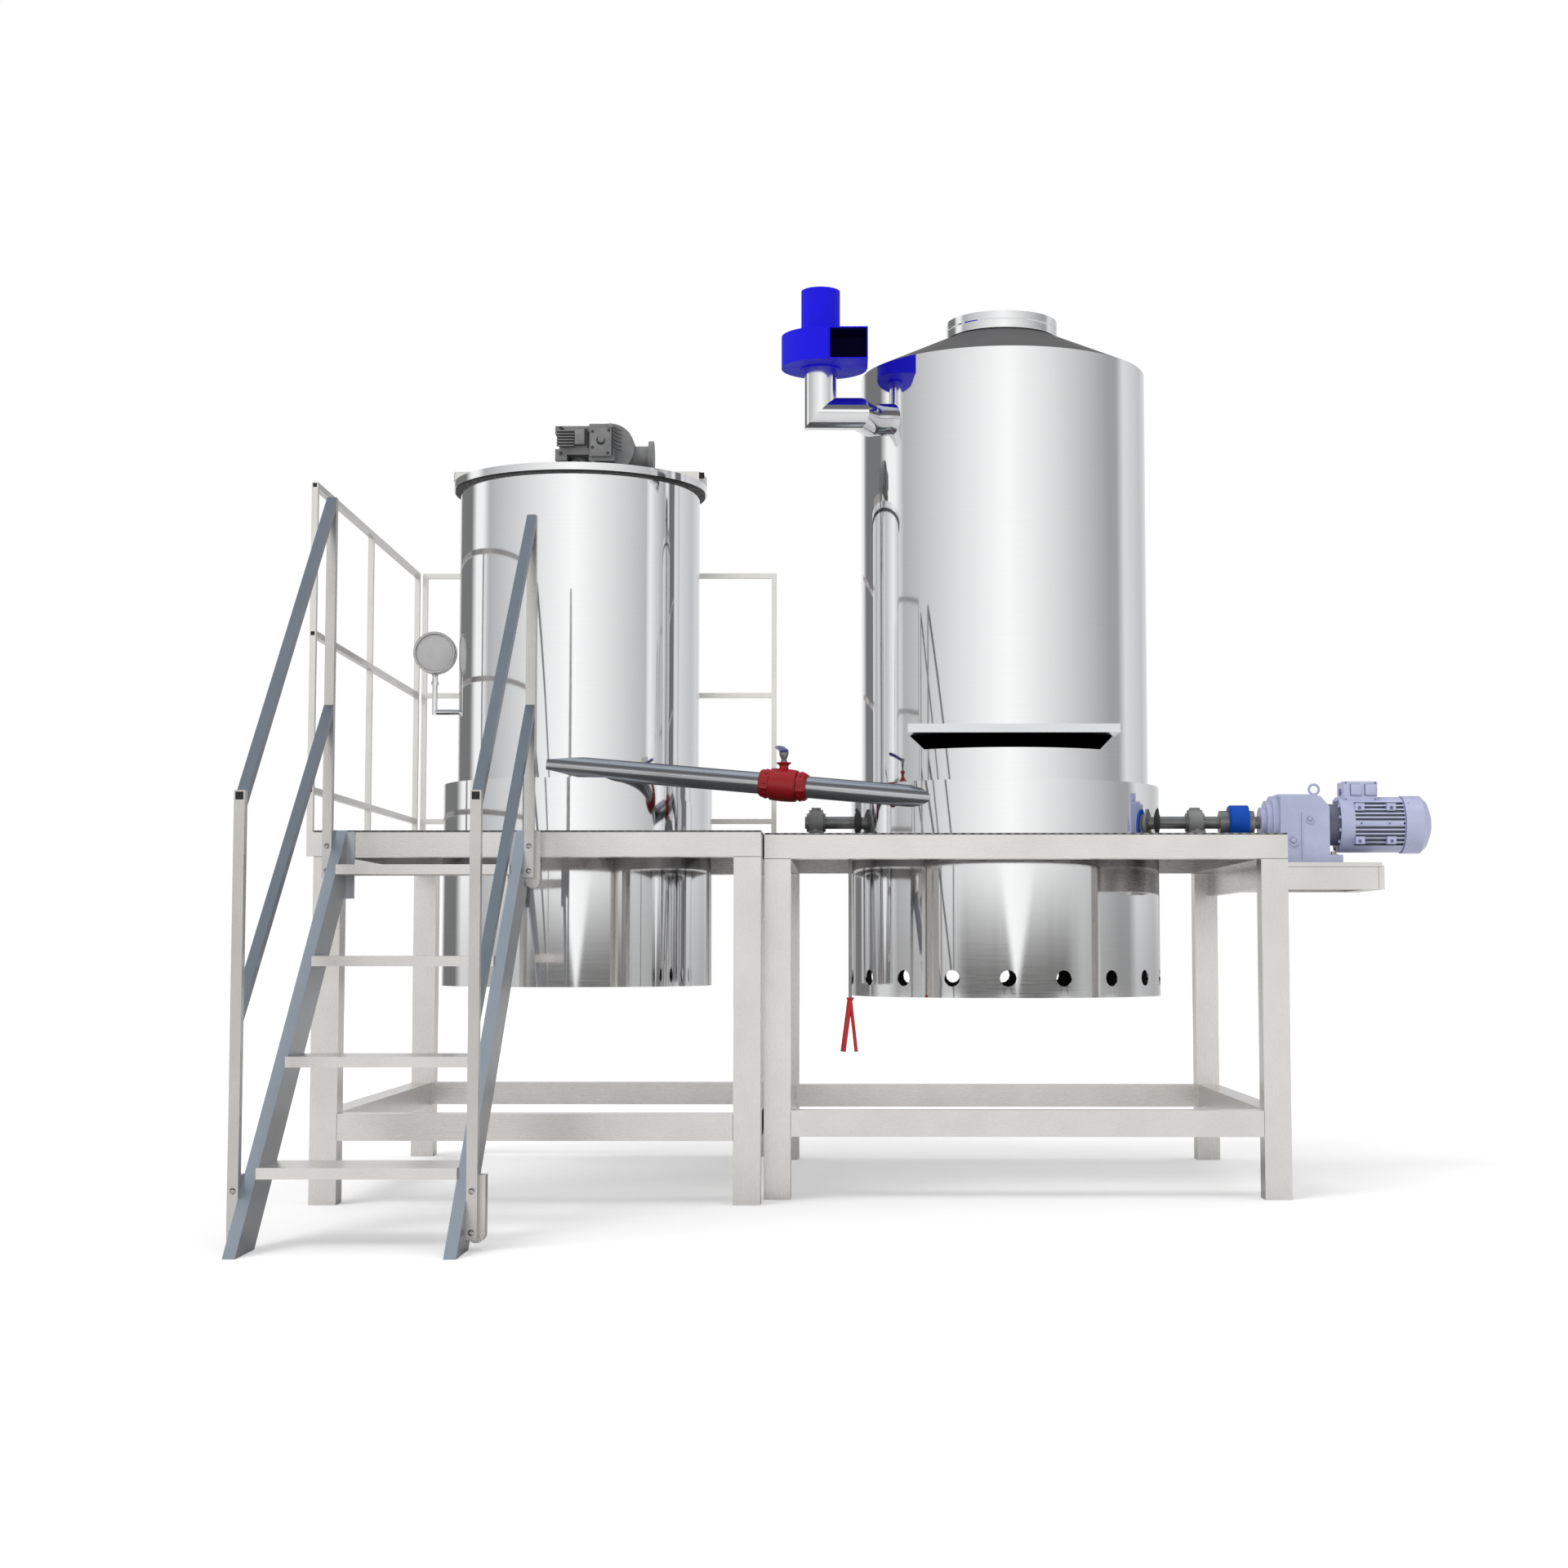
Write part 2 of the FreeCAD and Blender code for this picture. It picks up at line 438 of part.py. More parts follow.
def mitred(radius):
    """A round bar along the route, its lengths joined by mitres."""
    steps = [(b - a).normalize() for a, b in zip(route, route[1:])]
    lengths = []
    for k, (a, b) in enumerate(zip(route, route[1:])):
        first, last = k == 0, k == len(steps) - 1
        start = a if first else a - steps[k] * radius
        stop = b if last else b + steps[k] * radius
        bar = Part.makeCylinder(radius, (stop - start).Length, start, steps[k])
        if not first:
            seam = (steps[k - 1] + steps[k]).normalize() * -1
            bar = bar.cut(Part.makeCylinder(3 * radius, 3 * radius, a, seam))
        if not last:
            seam = (steps[k] + steps[k + 1]).normalize()
            bar = bar.cut(Part.makeCylinder(3 * radius, 3 * radius, b, seam))
        lengths.append(bar)
    return lengths[0].fuse(lengths[1:])


duct = doc.addObject("Part::Feature", "duct")
duct.Shape = mitred(S["duct_radius"]).cut(mitred(S["duct_radius"] - S["sheet_thick"] / 2))
node("fan_duct", cut(duct, rod(mx, my, "skirt_top", "mix_radius", "mix_shoulder - skirt_top")))

# Transfer pipe and ball valve, all on one sloping line
left_end = spot("pipe_left_x", "pipe_left_y", "deck_height + pipe_left_rise")
right_end = spot("pipe_right_x", "pipe_right_y", "deck_height + pipe_right_rise")
way = (right_end - left_end).normalize()
valve = left_end + way * ((spot("valve_x", 0, 0).x - left_end.x) / way.x)


def run(start, stop, radius, bore=None):
    """A length of the sloping line, between two distances from the valve's middle."""
    shape = Part.makeCylinder(radius, stop - start, valve + way * start, way)
    if bore:
        shape = shape.cut(Part.makeCylinder(bore, stop - start, valve + way * start, way))
    thing = doc.addObject("Part::Feature", "run")
    thing.Shape = shape
    return thing


end = S["valve_length"] / 2
inset = end - S["valve_flange"]
pipe_bore = S["pipe_radius"] - S["pipe_wall"]
past_wall = 4 * S["pipe_radius"]
node("transfer_pipe",
     cut(run(-(valve - left_end).Length - past_wall, -end, S["pipe_radius"], pipe_bore),
         rod(cx, cy, "jacket_base", "jacket_radius", "jacket_top - jacket_base"),
         rod(cx, cy, "jacket_base", "cook_radius", "cook_rim - jacket_base")),
     cut(run(end, (right_end - valve).Length + past_wall, S["pipe_radius"], pipe_bore),
         rod(mx, my, "skirt_base", "skirt_radius", "skirt_top - skirt_base")))
valve_y, valve_z = f"{valve.y:.4f}", f"{valve.z:.4f}"
node("valve_body", cut(
    fuse(run(-end, -inset, S["valve_radius"], pipe_bore),
         run(-inset, inset, S["valve_waist"], pipe_bore),
         run(inset, end, S["valve_radius"], pipe_bore),
         rod("valve_x", valve_y, f"{valve_z} + pipe_radius", "valve_neck_radius",
             "valve_neck_rise - pipe_radius")),
    rod("valve_x", valve_y, f"{valve_z} + valve_neck_rise - stem_depth - stem_fit",
        "stem_radius + stem_fit", "stem_depth + stem_fit")))
node("valve_lever", fuse(
    rod("valve_x", valve_y, f"{valve_z} + valve_neck_rise - stem_depth", "stem_radius",
        "stem_depth + stem_rise"),
    box("valve_x - lever_width / 2", f"{valve_y} - lever_width / 2",
        f"{valve_z} + valve_neck_rise + lever_level", "lever_width", "lever_reach", "lever_thick")))

# Mixer shaft line
sy, sz = "shaft_y", "shaft_z"
node("mixer_shaft", rod("shaft_start", sy, sz, "shaft_radius", "shaft_stop - shaft_start", "x"))
blocks = []
for mid in ("bearing_left", "bearing_right"):
    x = f"{mid} - bearing_width / 2"
    blocks.append(cut(
        fuse(box(x, f"{sy} - bearing_length / 2", "deck_height", "bearing_width", "bearing_length",
                 "bearing_pad + bearing_foot"),
             common(rod(x, sy, sz, "bearing_radius", "bearing_width", "x"),
                    box(x, f"{sy} - bearing_radius", "deck_height", "bearing_width",
                        "2 * bearing_radius", "shaft_rise + bearing_radius")),
             box(f"{mid} - bearing_cap / 2", f"{sy} - bearing_cap / 2", sz, "bearing_cap",
                 "bearing_cap", "bearing_cap_rise")),
        rod(f"{mid} - bearing_width / 2", sy, sz, "shaft_radius + shaft_fit", "bearing_width", "x")))
node("pillow_blocks", *blocks)
chord = "sqrt(pow(skirt_radius; 2) - pow(shaft_lead - shaft_radius - shaft_gap - seal_rim; 2))"
seals = []
for x in (f"{mx} - {chord}", f"{mx} + {chord} - seal_width"):
    seals.append(cut(rod(x, sy, sz, "seal_radius", "seal_width", "x"),
                     rod(x, sy, sz, "shaft_radius + shaft_gap", "seal_width", "x"),
                     rod(mx, my, "skirt_base", "skirt_radius", "skirt_top - skirt_base"),
                     rod(mx, my, "deck_height", "skirt_radius + ring_width + spare",
                         "ring_thick + seal_gap")))
node("shaft_seals", *seals)
node("coupling_hubs",
     cut(rod("hub_start", sy, sz, "hub_radius", "hub_length", "x"),
         rod("hub_start", sy, sz, "shaft_radius", "hub_seat", "x")),
     rod("far_hub", sy, sz, "hub_radius", "far_hub_length", "x"))
node("coupling_sleeve", fuse(
    taper("sleeve_start", sy, sz, "sleeve_radius - sleeve_edge", "sleeve_radius", "sleeve_edge", "x"),
    rod("sleeve_start + sleeve_edge", sy, sz, "sleeve_radius", "sleeve_length - sleeve_edge", "x")))
node("gear_output_shaft", rod("output_start", sy, sz, "shaft_radius",
                              "output_length + shaft_seat - seal_gap", "x"))

# Gear motor
mz = "motor_z"
corner = box("gear_stop", "gear_front - spare", "gear_top - gear_corner", "gear_half",
             "2 * (gear_half + spare)", "gear_half")
corner.Placement.Rotation = FreeCAD.Rotation(FreeCAD.Vector(0, 1, 0), -40)
bosses = [rod(x, "gear_front - gear_boss_rise", z, "gear_boss_radius",
              "2 * (gear_half + gear_boss_rise)", "y")
          for x, z in (("gear_start + 0.6 * gear_length", "gear_base + 0.64 * gear_height"),
                       ("gear_start + 0.26 * gear_length", "gear_base + 0.3 * gear_height"))]
gear_block = fuse(
    box("gear_start", "gear_front", "gear_base", "gear_length", "2 * gear_half", "gear_height"),
    box("gear_start", f"{sy} - gear_half / 2", "gear_top", "gear_length", "gear_half", "gear_crown"),
    box("gear_start", "gear_front - gear_foot_lip", "gear_base", "gear_length + gear_foot_reach",
        "2 * (gear_half + gear_foot_lip)", "gear_foot_thick"))
node("gear_case", cut(
    fuse(cut(gear_block, corner), *bosses,
         rod("gear_nose", sy, sz, "nose_small", "nose_step", "x"),
         rod("gear_nose + nose_step", sy, sz, "nose_middle", "nose_step", "x"),
         rod("gear_nose + 2 * nose_step", sy, sz, "nose_large", "nose_length - 2 * nose_step", "x")),
    rod("gear_nose", sy, sz, "shaft_radius + shaft_fit", "shaft_seat", "x")))
node("lifting_eye", cut(
    tube("eye_x", f"{sy} - eye_thick / 2", "eye_z", "eye_radius", "eye_hole", "eye_thick", "y"),
    box("gear_start", "gear_front", "gear_top", "gear_length", "2 * gear_half", "gear_crown")))


def motor_solid():
    return [rod("gear_stop", sy, mz, "motor_neck_radius", "motor_neck_length", "x"),
            rod("motor_start", sy, mz, "motor_flange_radius", "motor_flange", "x"),
            rod("fins_start", sy, mz, "motor_radius", "motor_length - motor_flange", "x")]


gaps = []
for k in range(-5, 6):
    level = f"{k} * fin_pitch"
    core = f"sqrt(pow(motor_core; 2) - pow({level}; 2))"
    for y in (f"{sy} - motor_radius - spare", f"{sy} + {core}"):
        gaps.append(box("fins_start + outlet_wall", y, f"{mz} + {level} - fin_gap / 2",
                        "motor_length - motor_flange - 2 * outlet_wall",
                        f"motor_radius + spare - {core}", "fin_gap"))
lugs = [box(f"motor_start + {reach} - motor_lug_width / 2", f"{sy} - motor_lug_reach",
            f"{mz} + {side} * motor_lug_rise - motor_lug_height / 2", "motor_lug_width",
            "2 * motor_lug_reach", "motor_lug_height")
        for reach in ("motor_lug_a_reach", "motor_lug_b_reach") for side in (-1, 1)]
node("motor_body", cut(
    fuse(cut(fuse(*motor_solid()), *gaps), *lugs),
    box("gear_stop", "gear_front - gear_foot_lip", "gear_base", "gear_foot_reach",
        "2 * (gear_half + gear_foot_lip)", "gear_foot_thick")))
node("motor_fan_cover", fuse(
    rod("cover_start", sy, mz, "cover_radius", "cover_length - cover_slope", "x"),
    taper("cover_end - cover_slope", sy, mz, "cover_radius", "cover_shoulder", "cover_bend", "x"),
    taper("cover_end - cover_slope + cover_bend", sy, mz, "cover_shoulder", "cover_face",
          "cover_slope - cover_bend", "x")))
node("terminal_box", cut(
    box("box_start", f"{sy} - box_half", "box_base", "box_length", "2 * box_half", "box_height"),
    *motor_solid()))
node("motor_tray", cut(
    box("right_stop", "tray_front", "tray_base", "tray_reach", "tray_width", "tray_height"),
    box("right_stop + tray_tube", "tray_front + tray_tube", "tray_base",
        "tray_reach - 2 * tray_tube", "tray_width - 2 * tray_tube", "tray_height")))
node("motor_plate", box("right_stop", "tray_front", "tray_top", "tray_reach - motor_plate_inset",
                        "tray_width", "motor_plate_thick"))
node("tray_rail", box("right_stop - tray_rail_width", "right_front + leg_side", "tray_base",
                      "tray_rail_width", "right_back - 2 * leg_side", "tray_height + tray_drop"))

# Stairs
slope = "atan(deck_height / stair_run)"
stringers = []
for x, plate_x in (("stair_left", "stair_left"),
                   ("stair_right - stringer_thick", "stair_right - end_plate_width")):
    bar = sloped(x, f"stair_foot - 2 * stringer_depth * cos({slope})",
                 f"-2 * stringer_depth * sin({slope})", "stringer_thick",
                 f"deck_height / sin({slope}) + 4 * stringer_depth", "stringer_depth", slope)
    stringers.append(fuse(
        common(bar, box(x, "stair_foot", 0, "stringer_thick", "stair_run", "deck_height")),
        box(plate_x, "left_front - end_plate_thick", "deck_base - end_plate_height",
            "end_plate_width", "end_plate_thick", "end_plate_height")))
node("stair_stringers", *stringers)
treads = []
for k in range(4):
    z = f"(tread_first + {k} * tread_rise - tread_thick)"
    y = f"(stair_foot + {z} / tan({slope}))"
    x, w = "stair_left + stringer_thick", "(stair_width - 2 * stringer_thick)"
    # The top tread stops at the end plates
    depth = "tread_depth" if k < 3 else f"(left_front - end_plate_thick - {y})"
    treads.append(cut(box(x, y, z, w, depth, "tread_thick"),
                      box(f"{x} + tread_sheet", f"{y} + tread_sheet", z, f"{w} - 2 * tread_sheet",
                          f"{depth} - 2 * tread_sheet", "tread_thick - tread_sheet")))
node("stair_treads", *treads)
post_x = {"left": "stair_left - post_side", "right": "stair_right"}
node("stair_posts",
     *[box(x, "post_y", "post_base", "post_side", "post_side", "post_top - post_base")
       for x in post_x.values()],
     *[box(x, "newel_y", "newel_base", "post_side", "post_side", f"newel_top_{side} - newel_base")
       for side, x in post_x.items()])
brackets = []
for side, x in post_x.items():
    for y, z in (("post_y", "bracket_low"), ("newel_y", "bracket_high")):
        plate_x = f"{x} + post_side - bracket_width" if side == "left" else x
        leg_x = f"{x} + post_side - bracket_thick" if side == "left" else x
        brackets.append(fuse(
            box(plate_x, f"{y} + post_side", z, "bracket_width", "bracket_thick", "bracket_height"),
            box(leg_x, f"{y} + post_side", z, "bracket_thick", "bracket_depth", "bracket_height")))
node("post_brackets", *brackets)
span = "(newel_y - post_y - post_side)"
bars = []
for low, high in (("post_top", "newel_top_{}"), ("middle_low", "middle_high")):
    for side, x in post_x.items():
        angle = f"atan(({high.format(side)} - {low}) / {span})"
        bar = sloped(x, f"post_y + post_side - 3 * post_side * cos({angle})",
                     f"{low} - 3 * post_side * sin({angle})", "post_side",
                     f"{span} / cos({angle}) + 6 * post_side", "post_side", angle)
        bars.append(common(bar, box(x, "post_y + post_side", 0, "post_side", span,
                                    "newel_top_left + post_side")))
node("stair_handrails", *bars)

# Guard rail round two sides of the left table
side_x = "left_start - guard_foot - guard_side"
back_y = "left_back + guard_foot"
side_posts = ["left_front", "guard_middle_y", "left_back - guard_side"]
back_posts = ["left_start + guard_end_inset", "left_stop - guard_side - guard_end_inset"]
tall = "guard_top - guard_base"
node("guard_posts",
     *[box(side_x, y, "guard_base", "guard_side", "guard_side", tall) for y in side_posts],
     *[box(x, back_y, "guard_base", "guard_side", "guard_side", tall) for x in back_posts])
foot = "(guard_foot_width - guard_side) / 2"
node("guard_feet",
     *[box("left_start - guard_foot", y, "guard_base", "guard_foot", "guard_foot_width",
           "guard_foot_height")
       for y in ("left_front", f"guard_middle_y - {foot}", "left_back - guard_foot_width")],
     *[box(x, "left_back", "guard_base", "guard_foot_width", "guard_foot", "guard_foot_height")
       for x in ("left_start + guard_end_inset", "left_stop - guard_foot_width - guard_end_inset")])
levels = ["guard_top - guard_side", "guard_middle - guard_side / 2", "guard_low - guard_side / 2"]
node("guard_rails",
     *[box(side_x, f"{a} + guard_side", z, "guard_side", f"{b} - ({a}) - guard_side", "guard_side")
       for z in levels for a, b in zip(side_posts, side_posts[1:])],
     *[box(f"{back_posts[0]} + guard_side", back_y, z,
           f"{back_posts[1]} - ({back_posts[0]}) - guard_side", "guard_side", "guard_side")
       for z in levels])

# Drain pull under the right deck
node("pull_rod", rod("pull_x", "pull_y", "pull_base", "pull_radius", "pull_length"))
top = spot("pull_x", "pull_y", "pull_base")
prongs = [Part.makeSphere(S["grip_knob"], top)]
for dx, radius in ((-S["grip_left"], S["grip_thick"]), (S["grip_right"], S["grip_thin"])):
    drop = FreeCAD.Vector(dx, 0, -S["grip_length"])
    prongs.append(Part.makeCylinder(radius, drop.Length, top, drop))
grip = doc.addObject("Part::Feature", "grip")
grip.Shape = prongs[0].fuse(prongs[1:])
node("pull_grip", cut(grip, box("pull_x - 2 * grip_knob", "pull_y - 2 * grip_knob", "pull_base",
                                "4 * grip_knob", "4 * grip_knob", "2 * grip_knob")))

doc.recompute()
problems = [o.Name for o in doc.Objects if {"Invalid", "Error"} & set(o.State)]
problems += [p.Label for p in NODES if p.Shape.isNull() or not p.Shape.isValid() or not p.Shape.Solids]
if problems:
    raise SystemExit(f"failed: {problems}")
os.makedirs("parts", exist_ok=True)
for piece in NODES:
    piece.Shape.exportStep(f"parts/{piece.Label}.step")
for piece in NODES:
    print(piece.Label, len(piece.Shape.Solids), round(piece.Shape.Volume / 1e6, 2))
print(len(NODES), "pieces")
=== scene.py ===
import math

import bmesh
import bpy
from mathutils import Matrix, Vector

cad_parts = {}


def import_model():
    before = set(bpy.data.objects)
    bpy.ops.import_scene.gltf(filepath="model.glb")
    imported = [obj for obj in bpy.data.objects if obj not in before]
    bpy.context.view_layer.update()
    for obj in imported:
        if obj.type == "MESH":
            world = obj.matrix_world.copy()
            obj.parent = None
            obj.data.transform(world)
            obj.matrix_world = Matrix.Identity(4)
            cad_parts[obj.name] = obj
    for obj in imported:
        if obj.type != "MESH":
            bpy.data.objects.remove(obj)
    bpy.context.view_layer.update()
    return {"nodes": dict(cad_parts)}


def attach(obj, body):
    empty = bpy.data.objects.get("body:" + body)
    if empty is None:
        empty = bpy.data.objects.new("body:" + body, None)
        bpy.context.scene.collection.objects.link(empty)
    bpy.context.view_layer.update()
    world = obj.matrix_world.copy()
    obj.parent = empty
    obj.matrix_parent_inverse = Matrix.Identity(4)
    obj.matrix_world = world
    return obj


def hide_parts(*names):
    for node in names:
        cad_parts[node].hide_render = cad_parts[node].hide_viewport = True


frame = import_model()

NODES = frame["nodes"]
OFFSET = Vector((437.5, 114.0, 0.0))

# Shared places in the source's millimetres
SHAFT_Y, SHAFT_Z, MOTOR_Z = 645, 1268, 1260
HOOD_X, HOOD_Y = 845, 770
FAN_X, FAN_Y = 181, 484
GEAR_FRONT, BOX_FRONT, LID_UNIT_FRONT = 526, 590, 893


def at(x, y, z):
    """Millimetres from the right table's front left foot, as in the part's source, to metres in the frame."""
    return (Vector((x, y, z)) - OFFSET) / 1000


# Materials

def shader(name, color, metallic, rough):
    material = bpy.data.materials.new(name)
    material.use_nodes = True
    tree = material.node_tree
    bsdf = tree.nodes["Principled BSDF"]
    bsdf.inputs["Base Color"].default_value = (*color, 1)
    bsdf.inputs["Metallic"].default_value = metallic
    bsdf.inputs["Roughness"].default_value = rough
    return material, tree, bsdf


def node(tree, kind, **values):
    made = tree.nodes.new(kind)
    for key, value in values.items():
        if hasattr(made, key):
            setattr(made, key, value)
        else:
            made.inputs[key.replace("_", " ")].default_value = value
    return made


def maths(tree, operation, *values):
    made = node(tree, "ShaderNodeMath", operation=operation)
    for slot, value in zip(made.inputs, values):
        if isinstance(value, (int, float)):
            slot.default_value = value
        else:
            tree.links.new(value, slot)
    return made.outputs[0]


def blended(tree, factor, first, second):
    made = node(tree, "ShaderNodeMix", data_type="RGBA")
    tree.links.new(factor, made.inputs["Factor"])
    for name, value in (("A", first), ("B", second)):
        if isinstance(value, tuple):
            made.inputs[name].default_value = (*value, 1)
        else:
            tree.links.new(value, made.inputs[name])
    return made.outputs["Result"]


def coords(tree, stretch):
    place = node(tree, "ShaderNodeTexCoord")
    mapping = node(tree, "ShaderNodeMapping")
    mapping.inputs["Scale"].default_value = stretch
    tree.links.new(place.outputs["Object"], mapping.inputs["Vector"])
    return mapping.outputs["Vector"]


def noise(tree, stretch, scale, detail=3.0, rough=0.55):
    made = node(tree, "ShaderNodeTexNoise", Scale=scale, Detail=detail, Roughness=rough)
    tree.links.new(coords(tree, stretch), made.inputs["Vector"])
    return made.outputs["Fac"]


def spread(tree, value, low, high, start=0.3, stop=0.7):
    made = node(tree, "ShaderNodeMapRange")
    made.inputs["From Min"].default_value, made.inputs["From Max"].default_value = start, stop
    made.inputs["To Min"].default_value, made.inputs["To Max"].default_value = low, high
    tree.links.new(value, made.inputs["Value"])
    return made.outputs["Result"]


def tint(tree, value, dark, light, start=0.3, stop=0.7):
    made = node(tree, "ShaderNodeValToRGB")
    made.color_ramp.elements[0].position, made.color_ramp.elements[1].position = start, stop
    made.color_ramp.elements[0].color, made.color_ramp.elements[1].color = (*dark, 1), (*light, 1)
    tree.links.new(value, made.inputs["Fac"])
    return made.outputs["Color"]


def bump(tree, bsdf, value, strength, distance):
    made = node(tree, "ShaderNodeBump")
    made.inputs["Strength"].default_value, made.inputs["Distance"].default_value = strength, distance
    tree.links.new(value, made.inputs["Height"])
    tree.links.new(made.outputs["Normal"], bsdf.inputs["Normal"])


def shade(color, amount):
    return tuple(min(1.0, c * amount) for c in color)


def facing(tree, direction):
    """How far a surface of the object faces one way, from -1 to 1."""
    spot = node(tree, "ShaderNodeTexCoord")
    turned = node(tree, "ShaderNodeVectorMath", operation="DOT_PRODUCT")
    turned.inputs[1].default_value = direction
    tree.links.new(spot.outputs["Normal"], turned.inputs[0])
    return turned.outputs["Value"]


def multiplied(tree, color, *factors):
    for factor in factors:
        made = node(tree, "ShaderNodeVectorMath", operation="SCALE")
        tree.links.new(color, made.inputs[0])
        tree.links.new(factor, made.inputs["Scale"])
        color = made.outputs[0]
    return color


def shaded_satin(name, color, grain, rough=0.27, flank_shade=0.66, underside_shade=0.6, edge=0.35):
    """Stainless tube or plate, ground along one direction, with painted shade on its flanks along X, its
    undersides and its edges.
    """
    material, tree, bsdf = shader(name, color, 1.0, rough)
    lines = noise(tree, grain, 9.0, 4.0, 0.7)
    clouds = noise(tree, (1, 1, 1), 5.0, 3.0)
    ground = tint(tree, clouds, shade(color, 0.94), shade(color, 1.03))
    # Painted shade, multiplied into the colour: darker on undersides, on faces along X, and near edges where
    # the face is rounded
    painted_underside_shade = spread(tree, facing(tree, (0, 0, -1)), 1.0, underside_shade, 0.6, 0.95)
    ways = [maths(tree, "ABSOLUTE", facing(tree, way)) for way in ((1, 0, 0), (0, 1, 0), (0, 0, 1))]
    painted_flank_shade = spread(tree, ways[0], 1.0, flank_shade, 0.6, 0.95)
    widest = maths(tree, "MAXIMUM", maths(tree, "MAXIMUM", *ways[:2]), ways[2])
    flat = spread(tree, widest, edge, 1.0, 0.85, 0.985)
    tree.links.new(multiplied(tree, ground, painted_flank_shade, painted_underside_shade, flat), bsdf.inputs["Base Color"])
    tree.links.new(spread(tree, lines, rough - 0.01, rough + 0.015), bsdf.inputs["Roughness"])
    bump(tree, bsdf, lines, 0.005, 0.001)
    return material


def polished(name, color, rough=0.045, wave=0.25):
    """Mirror-polished sheet with the slight waves of rolled plate and faint polishing lines."""
    material, tree, bsdf = shader(name, color, 1.0, rough)
    lines = noise(tree, (1, 1, 60), 6.0, 4.0, 0.7)
    waves = noise(tree, (1.4, 1.4, 0.35), 2.2, 2.0, 0.4)
    tree.links.new(tint(tree, lines, shade(color, 0.985), shade(color, 1.01)), bsdf.inputs["Base Color"])
    tree.links.new(spread(tree, lines, rough - 0.015, rough + 0.025), bsdf.inputs["Roughness"])
    bump(tree, bsdf, waves, wave, 0.004)
    return material


def outward(tree, place, centre, across):
    """The way from an axis through the centre to the place; across is nought along that axis."""
    out = node(tree, "ShaderNodeVectorMath", operation="SUBTRACT")
    out.inputs[1].default_value = centre
    tree.links.new(place, out.inputs[0])
    flat = node(tree, "ShaderNodeVectorMath", operation="MULTIPLY")
    flat.inputs[1].default_value = across
    tree.links.new(out.outputs[0], flat.inputs[0])
    return flat.outputs[0]


def shaded_inside(material, axis):
    """Paints shade, nearly black, on the faces that look towards an upright axis, the inside of the shell, and
    roughens them.
    """
    tree = material.node_tree
    bsdf = tree.nodes["Principled BSDF"]
    geometry = node(tree, "ShaderNodeNewGeometry")
    turned = node(tree, "ShaderNodeVectorMath", operation="DOT_PRODUCT")
    tree.links.new(outward(tree, geometry.outputs["Position"], axis, (1, 1, 0)), turned.inputs[0])
    tree.links.new(geometry.outputs["Normal"], turned.inputs[1])
    # Painted shade: faces looking towards the axis turn nearly black and rougher
    inside_shade = spread(tree, turned.outputs["Value"], 1.0, 0.0, -0.3, -0.2)
    unshaded = bsdf.inputs["Base Color"].links[0].from_socket
    tree.links.new(blended(tree, inside_shade, unshaded, (0.012, 0.011, 0.010)), bsdf.inputs["Base Color"])
    shine = bsdf.inputs["Roughness"].links[0].from_socket
    dull = maths(tree, "MAXIMUM", shine, maths(tree, "MULTIPLY", inside_shade, 0.6))
    tree.links.new(dull, bsdf.inputs["Roughness"])
    return material


def painted(name, color, rough=0.35, peel=0.12, coat=0.2, specular=0.5):
    """Sprayed paint with a little orange peel."""
    material, tree, bsdf = shader(name, color, 0.0, rough)
    bsdf.inputs["Specular IOR Level"].default_value = specular
    bsdf.inputs["Coat Weight"].default_value = coat
    bsdf.inputs["Coat Roughness"].default_value = 0.2
    clouds = noise(tree, (1, 1, 1), 14.0, 3.0)
    tree.links.new(tint(tree, clouds, shade(color, 0.93), shade(color, 1.05)), bsdf.inputs["Base Color"])
    tree.links.new(spread(tree, clouds, rough - 0.05, rough + 0.08), bsdf.inputs["Roughness"])
    bump(tree, bsdf, noise(tree, (1, 1, 1), 420.0, 2.0), peel, 0.0006)
    return material


def cast(name, color, rough=0.6, metallic=0.3):
    """Sand-cast metal under thin paint."""
    material, tree, bsdf = shader(name, color, metallic, rough)
    grains = noise(tree, (1, 1, 1), 260.0, 4.0, 0.6)
    clouds = noise(tree, (1, 1, 1), 18.0, 3.0)
    tree.links.new(tint(tree, clouds, shade(color, 0.85), shade(color, 1.15)), bsdf.inputs["Base Color"])
    tree.links.new(spread(tree, grains, rough - 0.1, rough + 0.12), bsdf.inputs["Roughness"])
    bump(tree, bsdf, grains, 0.25, 0.0012)
    return material


def plate(name, color):
    """Anti-slip deck plate: staggered raised buttons on dark ground steel."""
    material, tree, bsdf = shader(name, color, 0.8, 0.5)
    buttons = node(tree, "ShaderNodeTexVoronoi", voronoi_dimensions="2D", Scale=34.0, Randomness=0.0)
    tree.links.new(coords(tree, (1, 1, 1)), buttons.inputs["Vector"])
    raised = spread(tree, buttons.outputs["Distance"], 1.0, 0.0, 0.22, 0.34)
    wear = noise(tree, (1, 1, 1), 6.0, 4.0)
    ground = tint(tree, wear, shade(color, 0.8), shade(color, 1.2))
    tree.links.new(blended(tree, raised, ground, shade(color, 2.2)), bsdf.inputs["Base Color"])
    bump(tree, bsdf, raised, 0.7, 0.002)
    return material


